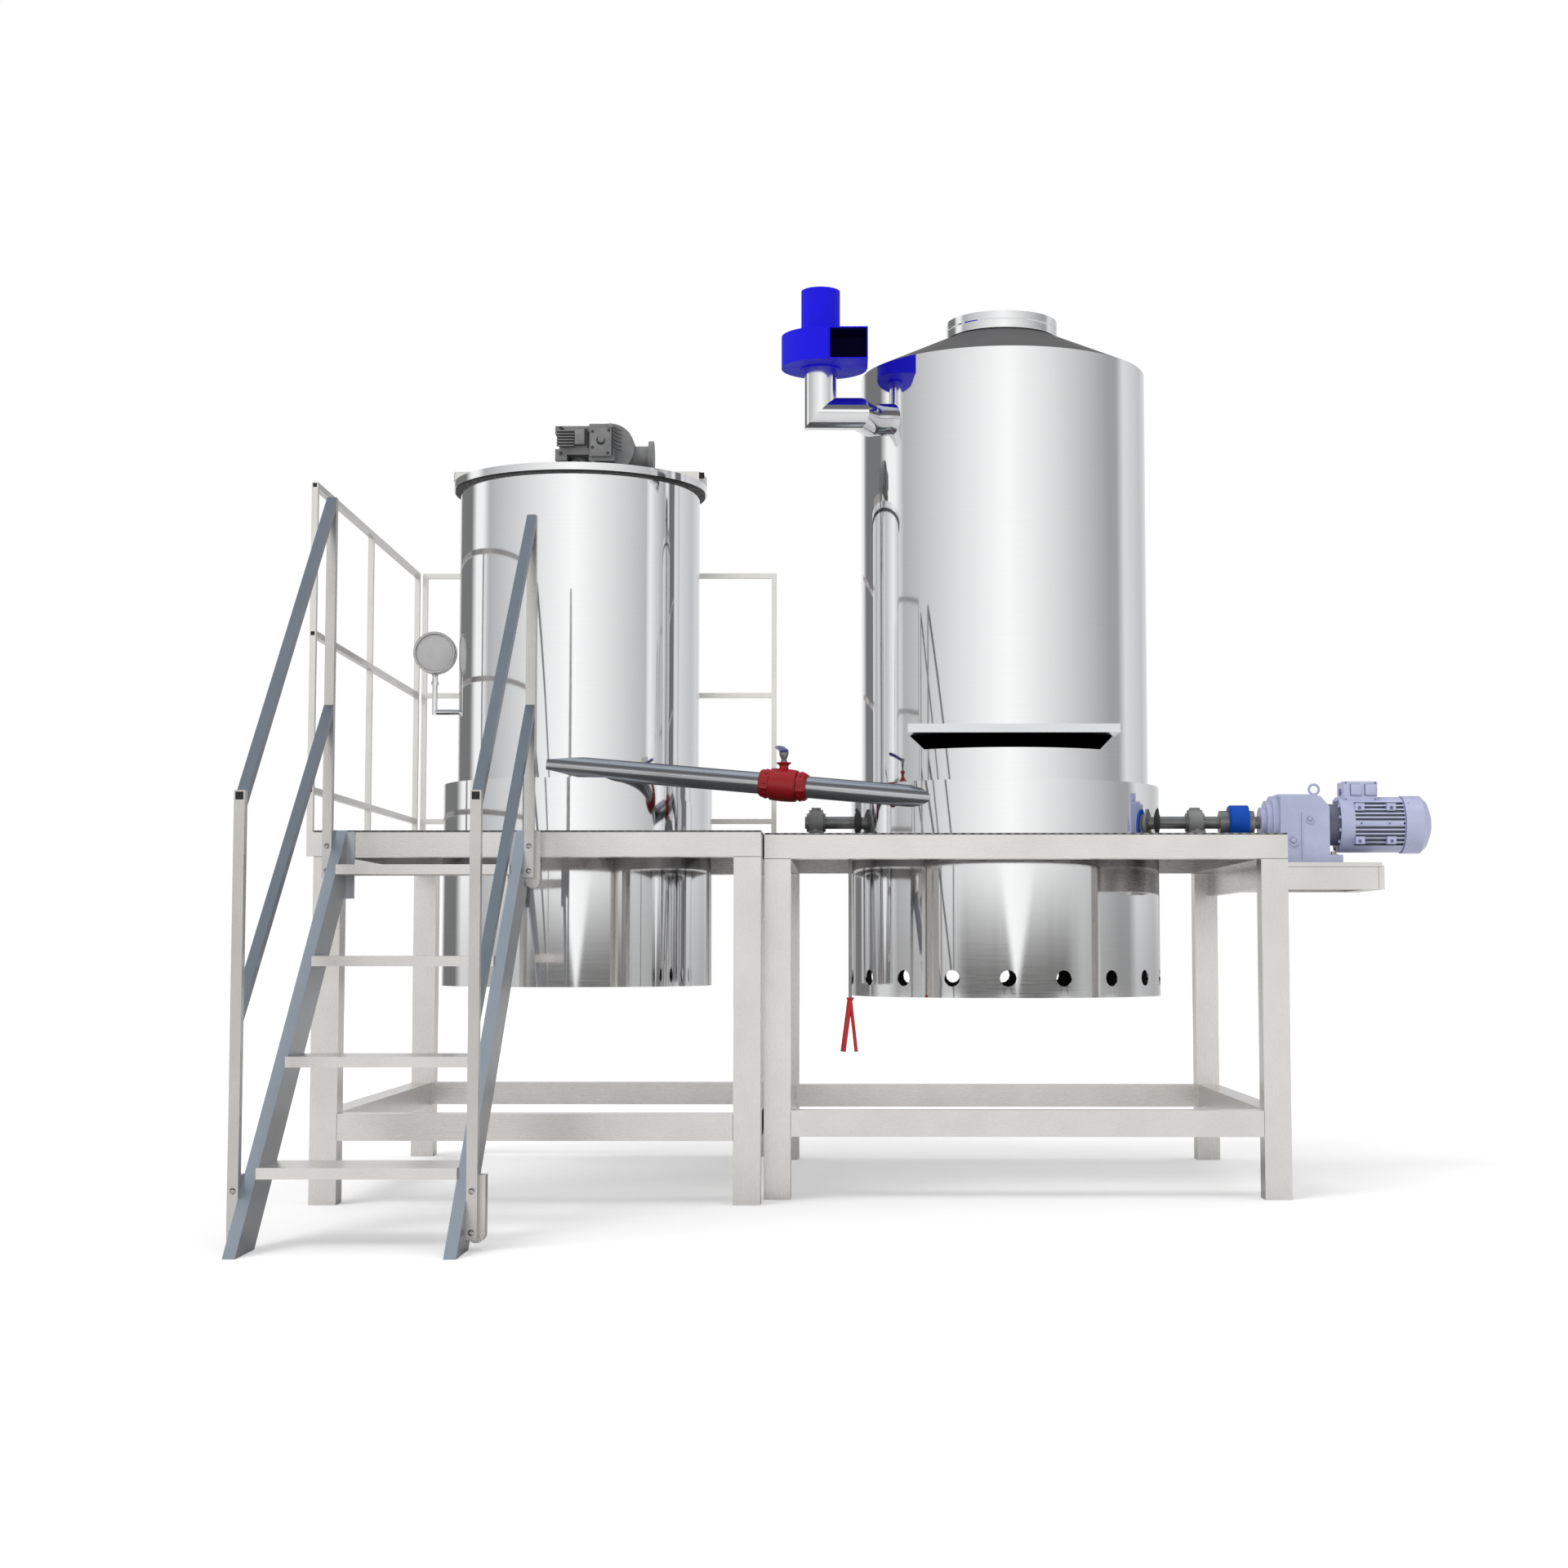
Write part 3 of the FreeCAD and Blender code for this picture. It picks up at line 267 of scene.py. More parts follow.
def shaded_near_axis(material, centre, near, far, least):
    """Paints shade on what lies nearer to an axis along X, as between cooling fins."""
    tree = material.node_tree
    bsdf = tree.nodes["Principled BSDF"]
    place = node(tree, "ShaderNodeTexCoord")
    away = node(tree, "ShaderNodeVectorMath", operation="LENGTH")
    tree.links.new(outward(tree, place.outputs["Object"], centre, (0, 1, 1)), away.inputs[0])
    # Painted shade, darkest nearest the axis
    painted_fin_shade = spread(tree, away.outputs["Value"], least, 1.0, near, far)
    unshaded = bsdf.inputs["Base Color"].links[0].from_socket
    tree.links.new(multiplied(tree, unshaded, painted_fin_shade), bsdf.inputs["Base Color"])
    return material


STEEL = (0.84, 0.815, 0.79)
MIRROR = (0.86, 0.86, 0.87)
satin_x = shaded_satin("satin_across", STEEL, (1, 40, 40))
satin_y = shaded_satin("satin_deep", STEEL, (40, 1, 40))
satin_z = shaded_satin("satin_upright", STEEL, (40, 40, 1))
# Darker copies of the same steel for the stair posts, their plates and the hood cone: painted shade
shaded_post_steel = shaded_satin("shaded_satin_post", shade(STEEL, 0.8), (40, 40, 1))
shaded_cone_steel = shaded_satin("shaded_satin_cone", shade(STEEL, 0.72), (40, 40, 1), 0.3, 1.0, 1.0, 1.0)
mirror = polished("mirror_sheet", MIRROR)
tube_mirror = polished("mirror_tube", MIRROR, 0.12, 0.05)
# The inside of the skirt and pan gets painted shade
shaded_skirt_mirror = shaded_inside(polished("shaded_mirror_skirt", MIRROR), at(HOOD_X, HOOD_Y, 0))
pipe_steel = polished("pipe_steel", (0.60, 0.61, 0.63), 0.22, 0.03)
visor_steel = polished("visor_steel", (0.70, 0.71, 0.72), 0.16, 0.05)
# Darker, bluish copies of the same steel for the handrails and stringers: painted shade and a painted
# reflection of the blue-grey sky
shaded_rail_steel = shaded_satin("shaded_rail_steel", (0.34, 0.365, 0.40), (40, 1, 40), 0.35, 0.6, 0.6, 1.0)
shaded_stringer_steel = shaded_satin("shaded_stringer_steel", (0.56, 0.58, 0.61), (40, 1, 40), 0.32, 0.55, 0.6, 1.0)
deck = plate("deck_plate", (0.16, 0.16, 0.16))
rubber = cast("black_rubber", (0.018, 0.018, 0.018), 0.7, 0.0)
gasket = painted("gasket_rubber", (0.020, 0.019, 0.018), 0.6, 0.02, 0.0)
seam = painted("seam_shade", (0.10, 0.10, 0.095), 0.6, 0.02, 0.0)
casting = cast("grey_casting", (0.27, 0.27, 0.27), 0.55, 0.1)
casting_shade = cast("casting_shade", (0.045, 0.045, 0.045), 0.6, 0.0)
machined = cast("machined_steel", (0.34, 0.34, 0.335), 0.42, 0.7)
bolt_steel = shaded_satin("bolt_steel", (0.55, 0.54, 0.53), (20, 20, 20), 0.25, 0.8, 0.6, 1.0)
fan_blue = painted("fan_blue", (0.008, 0.004, 0.80), 0.55, 0.05, 0.0, 0.2)
# Near-black for the inside of the fan's outlet: painted shade
fan_outlet_shade = painted("fan_outlet_shade", (0.002, 0.001, 0.06), 0.7, 0.05, 0.0, 0.1)
valve_red = painted("valve_red", (0.37, 0.006, 0.010), 0.38, 0.2, 0.08)
lever_blue = painted("lever_blue", (0.03, 0.03, 0.27), 0.3)
coupling_blue = painted("coupling_blue", (0.0, 0.078, 0.50), 0.5, 0.08, 0.0, 0.25)
PAINT = (0.51, 0.545, 0.75)
motor_paint = painted("motor_paint", PAINT, 0.4)
# Motor body paint with painted shade between its fins
shaded_fin_paint = shaded_near_axis(painted("shaded_fin_paint", PAINT, 0.4), at(0, SHAFT_Y, MOTOR_Z), 0.087, 0.097, 0.3)
motor_shade = painted("motor_shade", (0.17, 0.18, 0.33), 0.5)
grip_red = painted("grip_red", (0.58, 0.01, 0.015), 0.3)
dial = painted("dial_grey", (0.62, 0.62, 0.62), 0.5)

LOOKS = {
    deck: "left_deck right_deck",
    satin_x: "table_beams lower_rails stair_treads guard_rails motor_plate motor_tray lid_bridge",
    satin_y: "tray_rail",
    shaded_stringer_steel: "stair_stringers",
    shaded_rail_steel: "stair_handrails",
    satin_z: "table_legs support_rings guard_posts guard_feet",
    shaded_post_steel: "stair_posts post_brackets",
    shaded_cone_steel: "hood_cone",
    shaded_skirt_mirror: "mix_skirt mix_pan",
    mirror: "cook_shell cook_floor cook_jacket cook_lid mix_hood hood_neck",
    visor_steel: "hood_visor",
    tube_mirror: "fan_duct gauge_pipe",
    pipe_steel: "transfer_pipe",
    gasket: "lid_gasket",
    casting: "lid_gear_unit pillow_blocks",
    machined: "mixer_shaft shaft_seals coupling_hubs gear_output_shaft pull_rod",
    coupling_blue: "coupling_sleeve",
    fan_blue: "fan_scroll fan_motor",
    valve_red: "valve_body",
    lever_blue: "valve_lever",
    motor_paint: "gear_case lifting_eye motor_fan_cover terminal_box",
    shaded_fin_paint: "motor_body",
    grip_red: "pull_grip",
    dial: "gauge",
}
for material, names in LOOKS.items():
    for name in names.split():
        mesh = NODES[name].data
        mesh.materials.clear()
        mesh.materials.append(material)
missing = set(NODES) - {n for names in LOOKS.values() for n in names.split()}
if missing:
    raise SystemExit(f"no material for {sorted(missing)}")


# Pieces: each is one mesh, its shapes given in the source's millimetres

def rim(bm, centre, axis, radius, sides, turn=0.0):
    """A loop of vertices round an axis; one vertex where the radius is nought."""
    axis = Vector(axis).normalized()
    across = axis.orthogonal().normalized()
    if radius < 1e-6:
        return [bm.verts.new(at(*centre))]
    return [bm.verts.new(at(*(centre + Matrix.Rotation(turn + 2 * math.pi * k / sides, 3, axis) @ across
                              * radius))) for k in range(sides)]


def lathe(bm, start, axis, profile, sides=32, turn=0.0):
    """A closed turned form: the profile holds (distance along the axis, radius) from end to end."""
    start, axis = Vector(start), Vector(axis).normalized()
    loops = [rim(bm, start + axis * along, axis, radius, sides, turn) for along, radius in profile]
    for first, second in zip(loops, loops[1:]):
        for k in range(sides):
            corners = [first[k % len(first)], first[(k + 1) % len(first)],
                       second[(k + 1) % len(second)], second[k % len(second)]]
            corners = [c for j, c in enumerate(corners) if c not in corners[:j]]
            if len(corners) > 2:
                bm.faces.new(corners)
    for loop in (loops[0], loops[-1]):
        if len(loop) > 2:
            bm.faces.new(loop)


def block(bm, low, high, edge=0.0):
    """A box with chamfered edges."""
    made = bmesh.ops.create_cube(bm, size=1.0)["verts"]
    size = [(b - a) for a, b in zip(low, high)]
    middle = at(*[(a + b) / 2 for a, b in zip(low, high)])
    for vert in made:
        vert.co = middle + Vector([c * length / 1000 for c, length in zip(vert.co, size)])
    if edge:
        edges = list({e for v in made for e in v.link_edges})
        bmesh.ops.bevel(bm, geom=edges, offset=edge / 1000, segments=2, affect="EDGES", profile=0.5)


def bolt(bm, spot, axis, across=13.0, height=6.0, washer=True):
    """A hexagon head with a chamfered top, on its washer."""
    spot, axis = Vector(spot), Vector(axis).normalized()
    base = 0.0
    if washer:
        base = across * 0.12
        lathe(bm, spot, axis, [(0, across * 0.95), (base * 0.7, across * 0.95), (base, across * 0.88)], 24)
    corner = across / math.sqrt(3)
    lathe(bm, spot + axis * base, axis, [(0, corner), (height * 0.8, corner), (height, corner * 0.82)], 6)


def button(bm, spot, axis, radius=9.0, height=5.0):
    """A domed screw head with a socket."""
    lathe(bm, spot, axis, [(0, radius), (height * 0.45, radius * 0.94), (height * 0.8, radius * 0.75),
                           (height, radius * 0.45), (height * 0.5, radius * 0.4), (height * 0.5, 0)], 20)


def piece(name, bm, material, body="machine", smooth=True, nodes=()):
    bmesh.ops.recalc_face_normals(bm, faces=bm.faces)
    mesh = bpy.data.meshes.new(name)
    bm.to_mesh(mesh)
    bm.free()
    mesh.materials.append(material)
    made = bpy.data.objects.new(name, mesh)
    bpy.context.collection.objects.link(made)
    if smooth:
        mesh.shade_smooth()
        mesh.set_sharp_from_angle(angle=math.radians(32))
    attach(made, body)
    if nodes:
        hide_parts(*nodes)
    return made


def frame_bolts():
    bm = bmesh.new()
    for x in (-1393, -745):
        for y, z in ((-1335, 163), (-1335, 52), (-245, 1146), (-245, 1066)):
            button(bm, (x, y, z), (0, -1, 0))
    for y in (-142, 750, 1664):
        for z in (1136, 1176):
            bolt(bm, (-1455, y + 22 if y < 0 else y - 22, z), (-1, 0, 0), 10, 5)
    for x in (-1405, -50):
        for z in (1136, 1176):
            bolt(bm, (x, 1698, z), (0, 1, 0), 10, 5)
    for y in (-152, 740, 1674):
        for z in (1311, 1822):
            button(bm, (-1465, y + 10, z + 20), (1, 0, 0), 4, 3)
    piece("frame_bolts", bm, bolt_steel)


def joint_lines():
    """Thin dark joints where beams rest on legs and sheets meet."""
    bm = bmesh.new()
    legs = [(x, y) for xs, ys in (((-1451, -93), (-172, 1606)), ((0, 1638), (0, 1470))) for x in xs for y in ys]
    for left, front in legs:
        block(bm, (left + 1, front - 0.3, 1113.8), (left + 87, front + 1, 1115.8), 0.2)
        block(bm, (left - 0.3, front + 1, 1113.8), (left + 1, front + 87, 1115.8), 0.2)
        block(bm, (left + 87, front + 1, 1113.8), (left + 88.3, front + 87, 1115.8), 0.2)
    for left, front, right in ((-1451, -172, -5), (0, 0, 1726)):
        block(bm, (left + 1, front - 0.3, 1193.6), (right - 1, front + 1, 1195.2), 0.2)
    for left, right, front in ((-1363, -93, -172), (88, 1638, 0)):
        for x in (left, right):
            block(bm, (x - 0.7, front - 0.3, 205), (x + 0.7, front + 1, 289), 0.2)
    block(bm, (1727, 489.7, 1104), (2147, 491, 1105.4), 0.2)
    block(bm, (2135, 489.7, 1028), (2136.4, 491, 1104), 0.2)
    piece("joint_lines", bm, seam)


def post_plates():
    """The posts' back plates, no wider than the post on the outer side and round below."""
    bm = bmesh.new()
    for side, x in ((-1, -1408), (1, -760)):
        for y, low, high in ((-1305, 20, 204), (-215, 1012, 1196)):
            left, right = (x + 4, x + 30) if side < 0 else (x, x + 48)
            radius = (right - left) / 2
            outline = [(left, high), (right, high)]
            for k in range(9):
                angle = math.pi * k / 8
                outline.append(((left + right) / 2 + radius * math.cos(angle),
                                low + radius - radius * math.sin(angle)))
            loops = [[bm.verts.new(at(u, y + step, v)) for u, v in outline] for step in (0, 42)]
            bm.faces.new(loops[0])
            bm.faces.new(loops[1])
            for k in range(len(outline)):
                j = (k + 1) % len(outline)
                bm.faces.new((loops[0][k], loops[0][j], loops[1][j], loops[1][k]))
    piece("post_plates", bm, shaded_post_steel, nodes=("post_brackets",))


def end_plugs():
    """Black plugs in the open ends of the square tubes."""
    bm = bmesh.new()
    for x in (-1408, -760):
        block(bm, (x + 4, -1336.5, 1225), (x + 26, -1331, 1247), 1.2)
    for top in (2340, 1852, 1341):
        block(bm, (-1471.5, -173.5, top - 16.5), (-1458.5, -170, top - 3.5), 0.8)
    for x, top in ((-1408, 2275), (-760, 2217)):
        block(bm, (x + 4, -241, top - 3), (x + 26, -219, top + 1.5), 1.0)
    block(bm, (-274, 862.8, 2560), (-254.5, 866, 2583), 0.8)
    piece("end_plugs", bm, rubber)


def bearing_details():
    bm, collars = bmesh.new(), bmesh.new()
    for x in (164, 1517):
        for y in (572, 718):
            bolt(bm, (x, y, 1232), (0, 0, 1), 17, 8)
        for side in (-1, 1):
            lathe(collars, (x + side * 24, SHAFT_Y, SHAFT_Z), (side, 0, 0),
                  [(0, 36), (3, 36), (4, 33), (9, 33), (10, 30), (10, 22.5)], 40)
    piece("bearing_bolts", bm, machined)
    piece("bearing_collars", collars, machined)


def seal_details():
    """Thin dark seal flanges on the skirt, each with a ring of low screws."""
    bm, screws = bmesh.new(), bmesh.new()
    for x, side in ((313, -1), (1377, 1)):
        lathe(bm, (x, SHAFT_Y, SHAFT_Z), (side, 0, 0),
              [(-9, 22.3), (-9, 55), (6, 55), (8, 53), (8, 34), (12, 31), (12, 22.3)], 56)
        for k in range(6):
            angle = math.pi / 3 * k + math.pi / 6
            spot = (x + side * 8, SHAFT_Y + 45 * math.cos(angle), SHAFT_Z + 45 * math.sin(angle))
            lathe(screws, spot, (side, 0, 0), [(0, 4), (1.5, 4), (2.5, 3), (2.5, 0)], 12)
    piece("seal_flanges", bm, casting_shade, nodes=("shaft_seals",))
    piece("seal_screws", screws, machined)


def coupling_details():
    bm = bmesh.new()
    for x, side in ((1604, -1), (1726, 1)):
        lathe(bm, (x - side * 12, 603.5, SHAFT_Z), (0, -1, 0),
              [(0, 5), (3, 5), (3, 2.5), (1, 2.5), (1, 0)], 12)
    piece("coupling_screws", bm, machined, "rotor")


def gear_motor_details():
    paint, dark, steel = bmesh.new(), bmesh.new(), bmesh.new()
    # Case: seam, two flat oil plugs and the foot's bolts
    block(dark, (1874, 524.4, 1129), (1875.6, 526, 1300), 0.2)
    for x, z, radius in ((1906, 1276, 7), (1846, 1200, 9)):
        spot = (x, GEAR_FRONT, z)
        lathe(dark, spot, (0, -1, 0), [(0, radius + 1.5), (1.2, radius + 1.5), (1.2, 0)], 28)
        lathe(paint, spot, (0, -1, 0), [(0, radius), (3, radius), (3.6, radius - 1), (3.6, 0)], 28)
    for x in (1800, 1990):
        for y in (545, 745):
            bolt(steel, (x, y, 1150), (0, 0, 1), 17, 9)
    # Neck between case and motor: its flange's bolts
    for k in range(12):
        angle = math.pi / 12 + math.pi / 6 * k
        y, z = SHAFT_Y + 88 * math.cos(angle), MOTOR_Z + 88 * math.sin(angle)
        bolt(paint, (2022.5, y, z), (-1, 0, 0), 10, 7, False)
    # Motor lugs' bolts and the mid-line eyes
    for x in (2085, 2198):
        for z in (1316, 1198):
            lathe(dark, (x, 548, z), (0, -1, 0),
                  [(0, 6.5), (1.5, 6.5), (3, 4.5), (3, 2.5), (1, 2.5), (1, 0)], 6)
    for x in (2090, 2190):
        lathe(paint, (x, 549, MOTOR_Z), (0, -1, 0), [(0, 11), (3, 11), (5, 8), (5, 4), (2, 4), (2, 0)], 24)
        lathe(dark, (x, 546, MOTOR_Z), (0, -1, 0), [(0, 3.6), (1.6, 3.6), (1.6, 0)], 12)
    block(paint, (2067, 545, 1253), (2240, 549, 1267), 1.5)
    # Terminal box: two raised covers with shaded edges, screws at the corners
    for left, right in ((2061, 2101), (2112, 2152)):
        block(dark, (left, 588.6, 1361), (right, 590.4, 1403), 0.5)
        block(paint, (left + 3, 584, 1363), (right + 1, 589, 1402), 2.5)
    lathe(dark, (2040, SHAFT_Y, 1377), (-1, 0, 0), [(0, 13), (5, 13), (6, 11), (6, 0)], 24)
    for y in (598, 692):
        for z in (1350, 1405):
            lathe(dark, (2158, y, z), (1, 0, 0), [(0, 4), (2, 4), (3, 2), (3, 0)], 12)
    for x in (2046, 2151):
        for z in (1349, 1407):
            lathe(dark, (x, BOX_FRONT, z), (0, -1, 0), [(0, 3.2), (1.5, 3.2), (2, 2.5), (2, 0)], 12)
    # Fan cover: the gap before it and its screws
    lathe(dark, (2247, SHAFT_Y, MOTOR_Z), (1, 0, 0), [(0, 99.5), (0, 101.5), (3.2, 101.5), (3.2, 99.5)], 72)
    for k in range(4):
        angle = math.pi / 4 + k * math.pi / 2
        y, z = SHAFT_Y + 103 * math.cos(angle), MOTOR_Z + 103 * math.sin(angle)
        button(paint, (2262, y, z), (0, math.cos(angle), math.sin(angle)), 5, 3)
    piece("drive_bosses", paint, motor_paint)
    piece("drive_shaded_parts", dark, motor_shade)
    piece("drive_bolts", steel, bolt_steel)


def lid_gear_details():
    """Fins, pad, cover screws, boss and studs, with painted shade behind the fins and pad, round the boss and
    beside the cover, and dark strips of painted shade for the drum's curved ribs.
    """
    cast_on, dark = bmesh.new(), bmesh.new()
    for x, z in ((-674, 2744), (-674, 2684), (-613, 2748), (-616, 2662)):
        lathe(dark, (x, 889, z), (0, -1, 0), [(0, 5.2), (1.2, 5.2), (1.2, 0)], 16)
    for x, z in ((-792, 2662), (-793, 2758)):
        lathe(dark, (x, LID_UNIT_FRONT - 0.5, z), (0, -1, 0), [(0, 6.5), (1.5, 6.5), (1.5, 0)], 20)
    # Fins beside a pad, with painted shade behind both
    block(dark, (-806, 890.8, 2690), (-742, LID_UNIT_FRONT, 2746), 0.5)
    for k in range(6):
        z = 2690 + 11.2 * k
        block(cast_on, (-808, 884, z - 2.4), (-742, LID_UNIT_FRONT, z + 2.4), 1.2)
    block(dark, (-741, 890.6, 2692), (-692, LID_UNIT_FRONT, 2754), 0.5)
    block(cast_on, (-740, 883, 2694), (-703, LID_UNIT_FRONT, 2752), 2.5)
    # Cover plate with its round boss, and painted shade round the boss
    block(cast_on, (-684, 889, 2650), (-603, LID_UNIT_FRONT, 2757), 2.0)
    lathe(dark, (-643, 889.5, 2710), (0, -1, 0), [(0, 17), (1.2, 17), (1.2, 0)], 32)
    lathe(cast_on, (-641, 889, 2714), (0, -1, 0), [(0, 13), (3, 13), (4.5, 11), (4.5, 0)], 32)
    lathe(cast_on, (-607, LID_UNIT_FRONT, 2765), (0, -1, 0),
          [(0, 10), (3, 10), (6, 8), (7.5, 4), (7.5, 0)], 20)
    # Dark strips of painted shade for the curved ribs between the cover and the drum's rim, and a strip beside
    # the cover
    for k in range(6):
        z = 2672 + 15 * k
        route = [Vector((-595 + 6 * j, 890, z + 13 - 5.2 * j + 0.5 * j * j)) for j in range(6)]
        sweep(dark, route, [5] * 6, [3.5] * 6, 10)
    block(dark, (-601, 890.8, 2655), (-598, LID_UNIT_FRONT, 2757), 0.5)
    for x in (-742, -712, -672):
        lathe(cast_on, (x, 905, 2590), (0, 0, 1), [(0, 11), (40, 11), (44, 7), (44, 0)], 20)
    for y in (905, 1095):
        for x in (-800, -470):
            bolt(cast_on, (x, y, 2596), (0, 0, 1), 15, 8)
    piece("lid_gear_recesses", dark, casting_shade)
    piece("lid_gear_castings", cast_on, casting)


def gauge_details():
    bezel, face = bmesh.new(), bmesh.new()
    lathe(bezel, (-1270, 982, 1925), (0, -1, 0), [(0, 79), (5, 79), (8, 77), (8, 71), (4, 69), (2, 69)], 64)
    lathe(face, (-1270, 982, 1925), (0, -1, 0), [(0, 70), (2.5, 70), (3, 68), (3, 0)], 64)
    lathe(bezel, (-1270, 1000, 1852), (0, 0, -1), [(0, 13), (10, 13), (11, 11), (18, 11)], 6)
    piece("gauge_bezel", bezel, bolt_steel)
    piece("gauge_face", face, dial)


def torus(bm, centre, axis, major, minor, around=40, across=14):
    axis = Vector(axis).normalized()
    first = axis.orthogonal().normalized()
    loops = []
    for k in range(around):
        out = Matrix.Rotation(2 * math.pi * k / around, 3, axis) @ first
        loops.append([bm.verts.new(at(*(Vector(centre) + out * (major + minor * math.cos(a))
                                        + axis * minor * math.sin(a))))
                      for a in (2 * math.pi * j / across for j in range(across))])
    for k in range(around):
        ring, following = loops[k], loops[(k + 1) % around]
        for j in range(across):
            bm.faces.new((ring[j], following[j], following[(j + 1) % across], ring[(j + 1) % across]))


def sweep(bm, points, widths, heights, sides=16):
    """An oval bar through the points, with a width and a height at each."""
    loops = []
    for k, point in enumerate(points):
        ahead = (points[min(k + 1, len(points) - 1)] - points[max(k - 1, 0)]).normalized()
        across = ahead.cross(Vector((0, 0, 1))).normalized()
        above = across.cross(ahead)
        loops.append([bm.verts.new(at(*(point + across * widths[k] / 2 * math.cos(a)
                                        + above * heights[k] / 2 * math.sin(a))))
                      for a in (2 * math.pi * j / sides for j in range(sides))])
    for first, second in zip(loops, loops[1:]):
        for j in range(sides):
            bm.faces.new((first[j], first[(j + 1) % sides], second[(j + 1) % sides], second[j]))
    bm.faces.new(loops[0])
    bm.faces.new(loops[-1])


def valve_details():
    """A barrel between eight-sided collars, a flared neck, a cup stem and a lever with a dipped grip."""
    turns = (math.radians(11.46), math.radians(40.27))
    left = Vector((-727 + 448 * math.sin(turns[0]), 1000 - 448 * math.cos(turns[0]), 1457))
    right = Vector((845 - 556 * math.sin(turns[1]), 770 - 556 * math.cos(turns[1]), 1345))
    way = (right - left).normalized()
    middle = left + way * ((right.x - 432 - left.x) / way.x)
    body = bmesh.new()
    lathe(body, middle, way, [(-48, 38.2), (-48, 53), (-45, 55.5), (-25, 57), (0, 57.5), (25, 57), (45, 55.5),
                              (48, 53), (48, 38.2)], 48)
    for side in (-1, 1):
        lathe(body, middle, way * side, [(48, 38.2), (48, 49), (50, 52.5), (74, 52.5), (85, 45), (85, 38.2)],
              8, math.pi / 8)
        for k in range(8):
            ahead = way.orthogonal().normalized()
            out = Matrix.Rotation(math.pi / 4 * k, 3, way) @ ahead
            lathe(body, middle + way * side * 62 + out * 46, out, [(0, 6), (4.5, 6), (6, 4), (6, 0)], 12)
    base = middle + Vector((0, 0, 50))
    lathe(body, base, (0, 0, 1), [(0, 22), (6, 17), (14, 15.5), (20, 17), (26, 26), (29, 26), (29, 21),
                                  (27, 16), (30, 12.1)], 32)
    piece("valve_casting", body, valve_red, nodes=("valve_body",))
    stem = bmesh.new()
    lathe(stem, middle + Vector((0, 0, 60)), (0, 0, 1), [(0, 11.8), (24, 11.8), (30, 9), (38, 13), (50, 16.5),
                                                         (62, 16.5), (66, 12), (66, 0)], 28)
    top = middle + Vector((0, 0, 118))
    piece("valve_stem", stem, machined, "lever")
    grip = bmesh.new()
    route = [(0, -19, 0, 12), (0, -16, 0, 24), (0, -5, 1, 32), (-1, 12, 3, 34), (-5, 45, 10, 35),
             (-12, 90, 19, 36), (-18, 135, 26, 36), (-22, 162, 29, 32), (-23, 170, 30, 20),
             (-23.3, 172, 30, 10)]
    sweep(grip, [top + Vector(step[:3]) for step in route], [step[3] for step in route],
          [7, 10, 12, 12, 12, 13, 13, 12, 8, 4], 20)
    piece("valve_grip", grip, lever_blue, "lever", nodes=("valve_lever",))


def fan_details():
    """Painted shade as dark sheets inside the outlet, its rolled lip, and the motor's flange with its screws.
    """
    dark, blue = bmesh.new(), bmesh.new()
    left, right, low, high, front, back = 215, 344, 2880, 2986, 334, 455
    # Dark sheets on the outlet's back, sides, top and bottom: painted shade
    block(dark, (left, back - 1.5, low), (right, back - 0.2, high))
    for x in (left + 0.2, right - 1.5):
        block(dark, (x, front, low), (x + 1.3, back, high))
    for z in (low + 0.2, high - 1.5):
        block(dark, (left, front, z), (right, back, z + 1.3))
    lathe(blue, (FAN_X, FAN_Y, 2990), (0, 0, 1), [(0, 76), (3, 76), (5, 74), (5, 69.2)], 64)
    for k in range(4):
        angle = math.pi / 4 + math.pi / 2 * k
        spot = (FAN_X + 102 * math.cos(angle), FAN_Y + 102 * math.sin(angle), 2990)
        bolt(blue, spot, (0, 0, 1), 10, 5)
    lathe(blue, (FAN_X, FAN_Y, 2876), (0, 0, -1), [(0, 72), (3, 72), (5, 70), (5, 57.5)], 64)
    piece("fan_outlet_painted_shade", dark, fan_outlet_shade)
    piece("fan_flanges", blue, fan_blue)


def eye_detail():
    bm = bmesh.new()
    torus(bm, (1944, SHAFT_Y, 1387), (0, 1, 0), 17.5, 4.5)
    lathe(bm, (1944, SHAFT_Y, 1364), (0, 0, 1), [(0, 11), (3, 11), (5, 8), (8, 6)], 24)
    piece("lifting_ring", bm, motor_paint, nodes=("lifting_eye",))


# Bevel width in millimetres and segments for the named solids
EDGES = (
    ("table_legs table_beams lower_rails tray_rail motor_tray", 2.5, 2),
    ("stair_posts stair_treads stair_stringers stair_handrails post_brackets", 1.6, 2),
    ("guard_posts guard_rails guard_feet lid_bridge motor_plate", 1.2, 2),
    ("fan_motor", 9, 3),
    ("terminal_box", 4, 2),
    ("pull_grip", 2.5, 2),
)


def softened():
    """Rolled edges on the tubes and plates."""
    for names, width, segments in EDGES:
        for name in names.split():
            bevel = NODES[name].modifiers.new("edges", "BEVEL")
            bevel.width, bevel.segments = width / 1000, segments
            bevel.limit_method, bevel.angle_limit = "ANGLE", math.radians(40)
            bevel.harden_normals = True


softened()
for make in (frame_bolts, joint_lines, post_plates, end_plugs, bearing_details, seal_details,
             coupling_details, gear_motor_details, lid_gear_details, gauge_details, valve_details,
             fan_details, eye_detail):
    make()


# Stage, light and camera

FLOOR_RADIUS, FLOOR_SIDES = 26, 96
# The camera solved from the photo: focal length and shift in pixels of its frame, angles in radians
FRAME, FOCAL, SHIFT = 1920, 2865.4, -52.8
EYE, PITCH, YAW = (260.8, -7718.9, 813.4), 0.0709, -0.0069

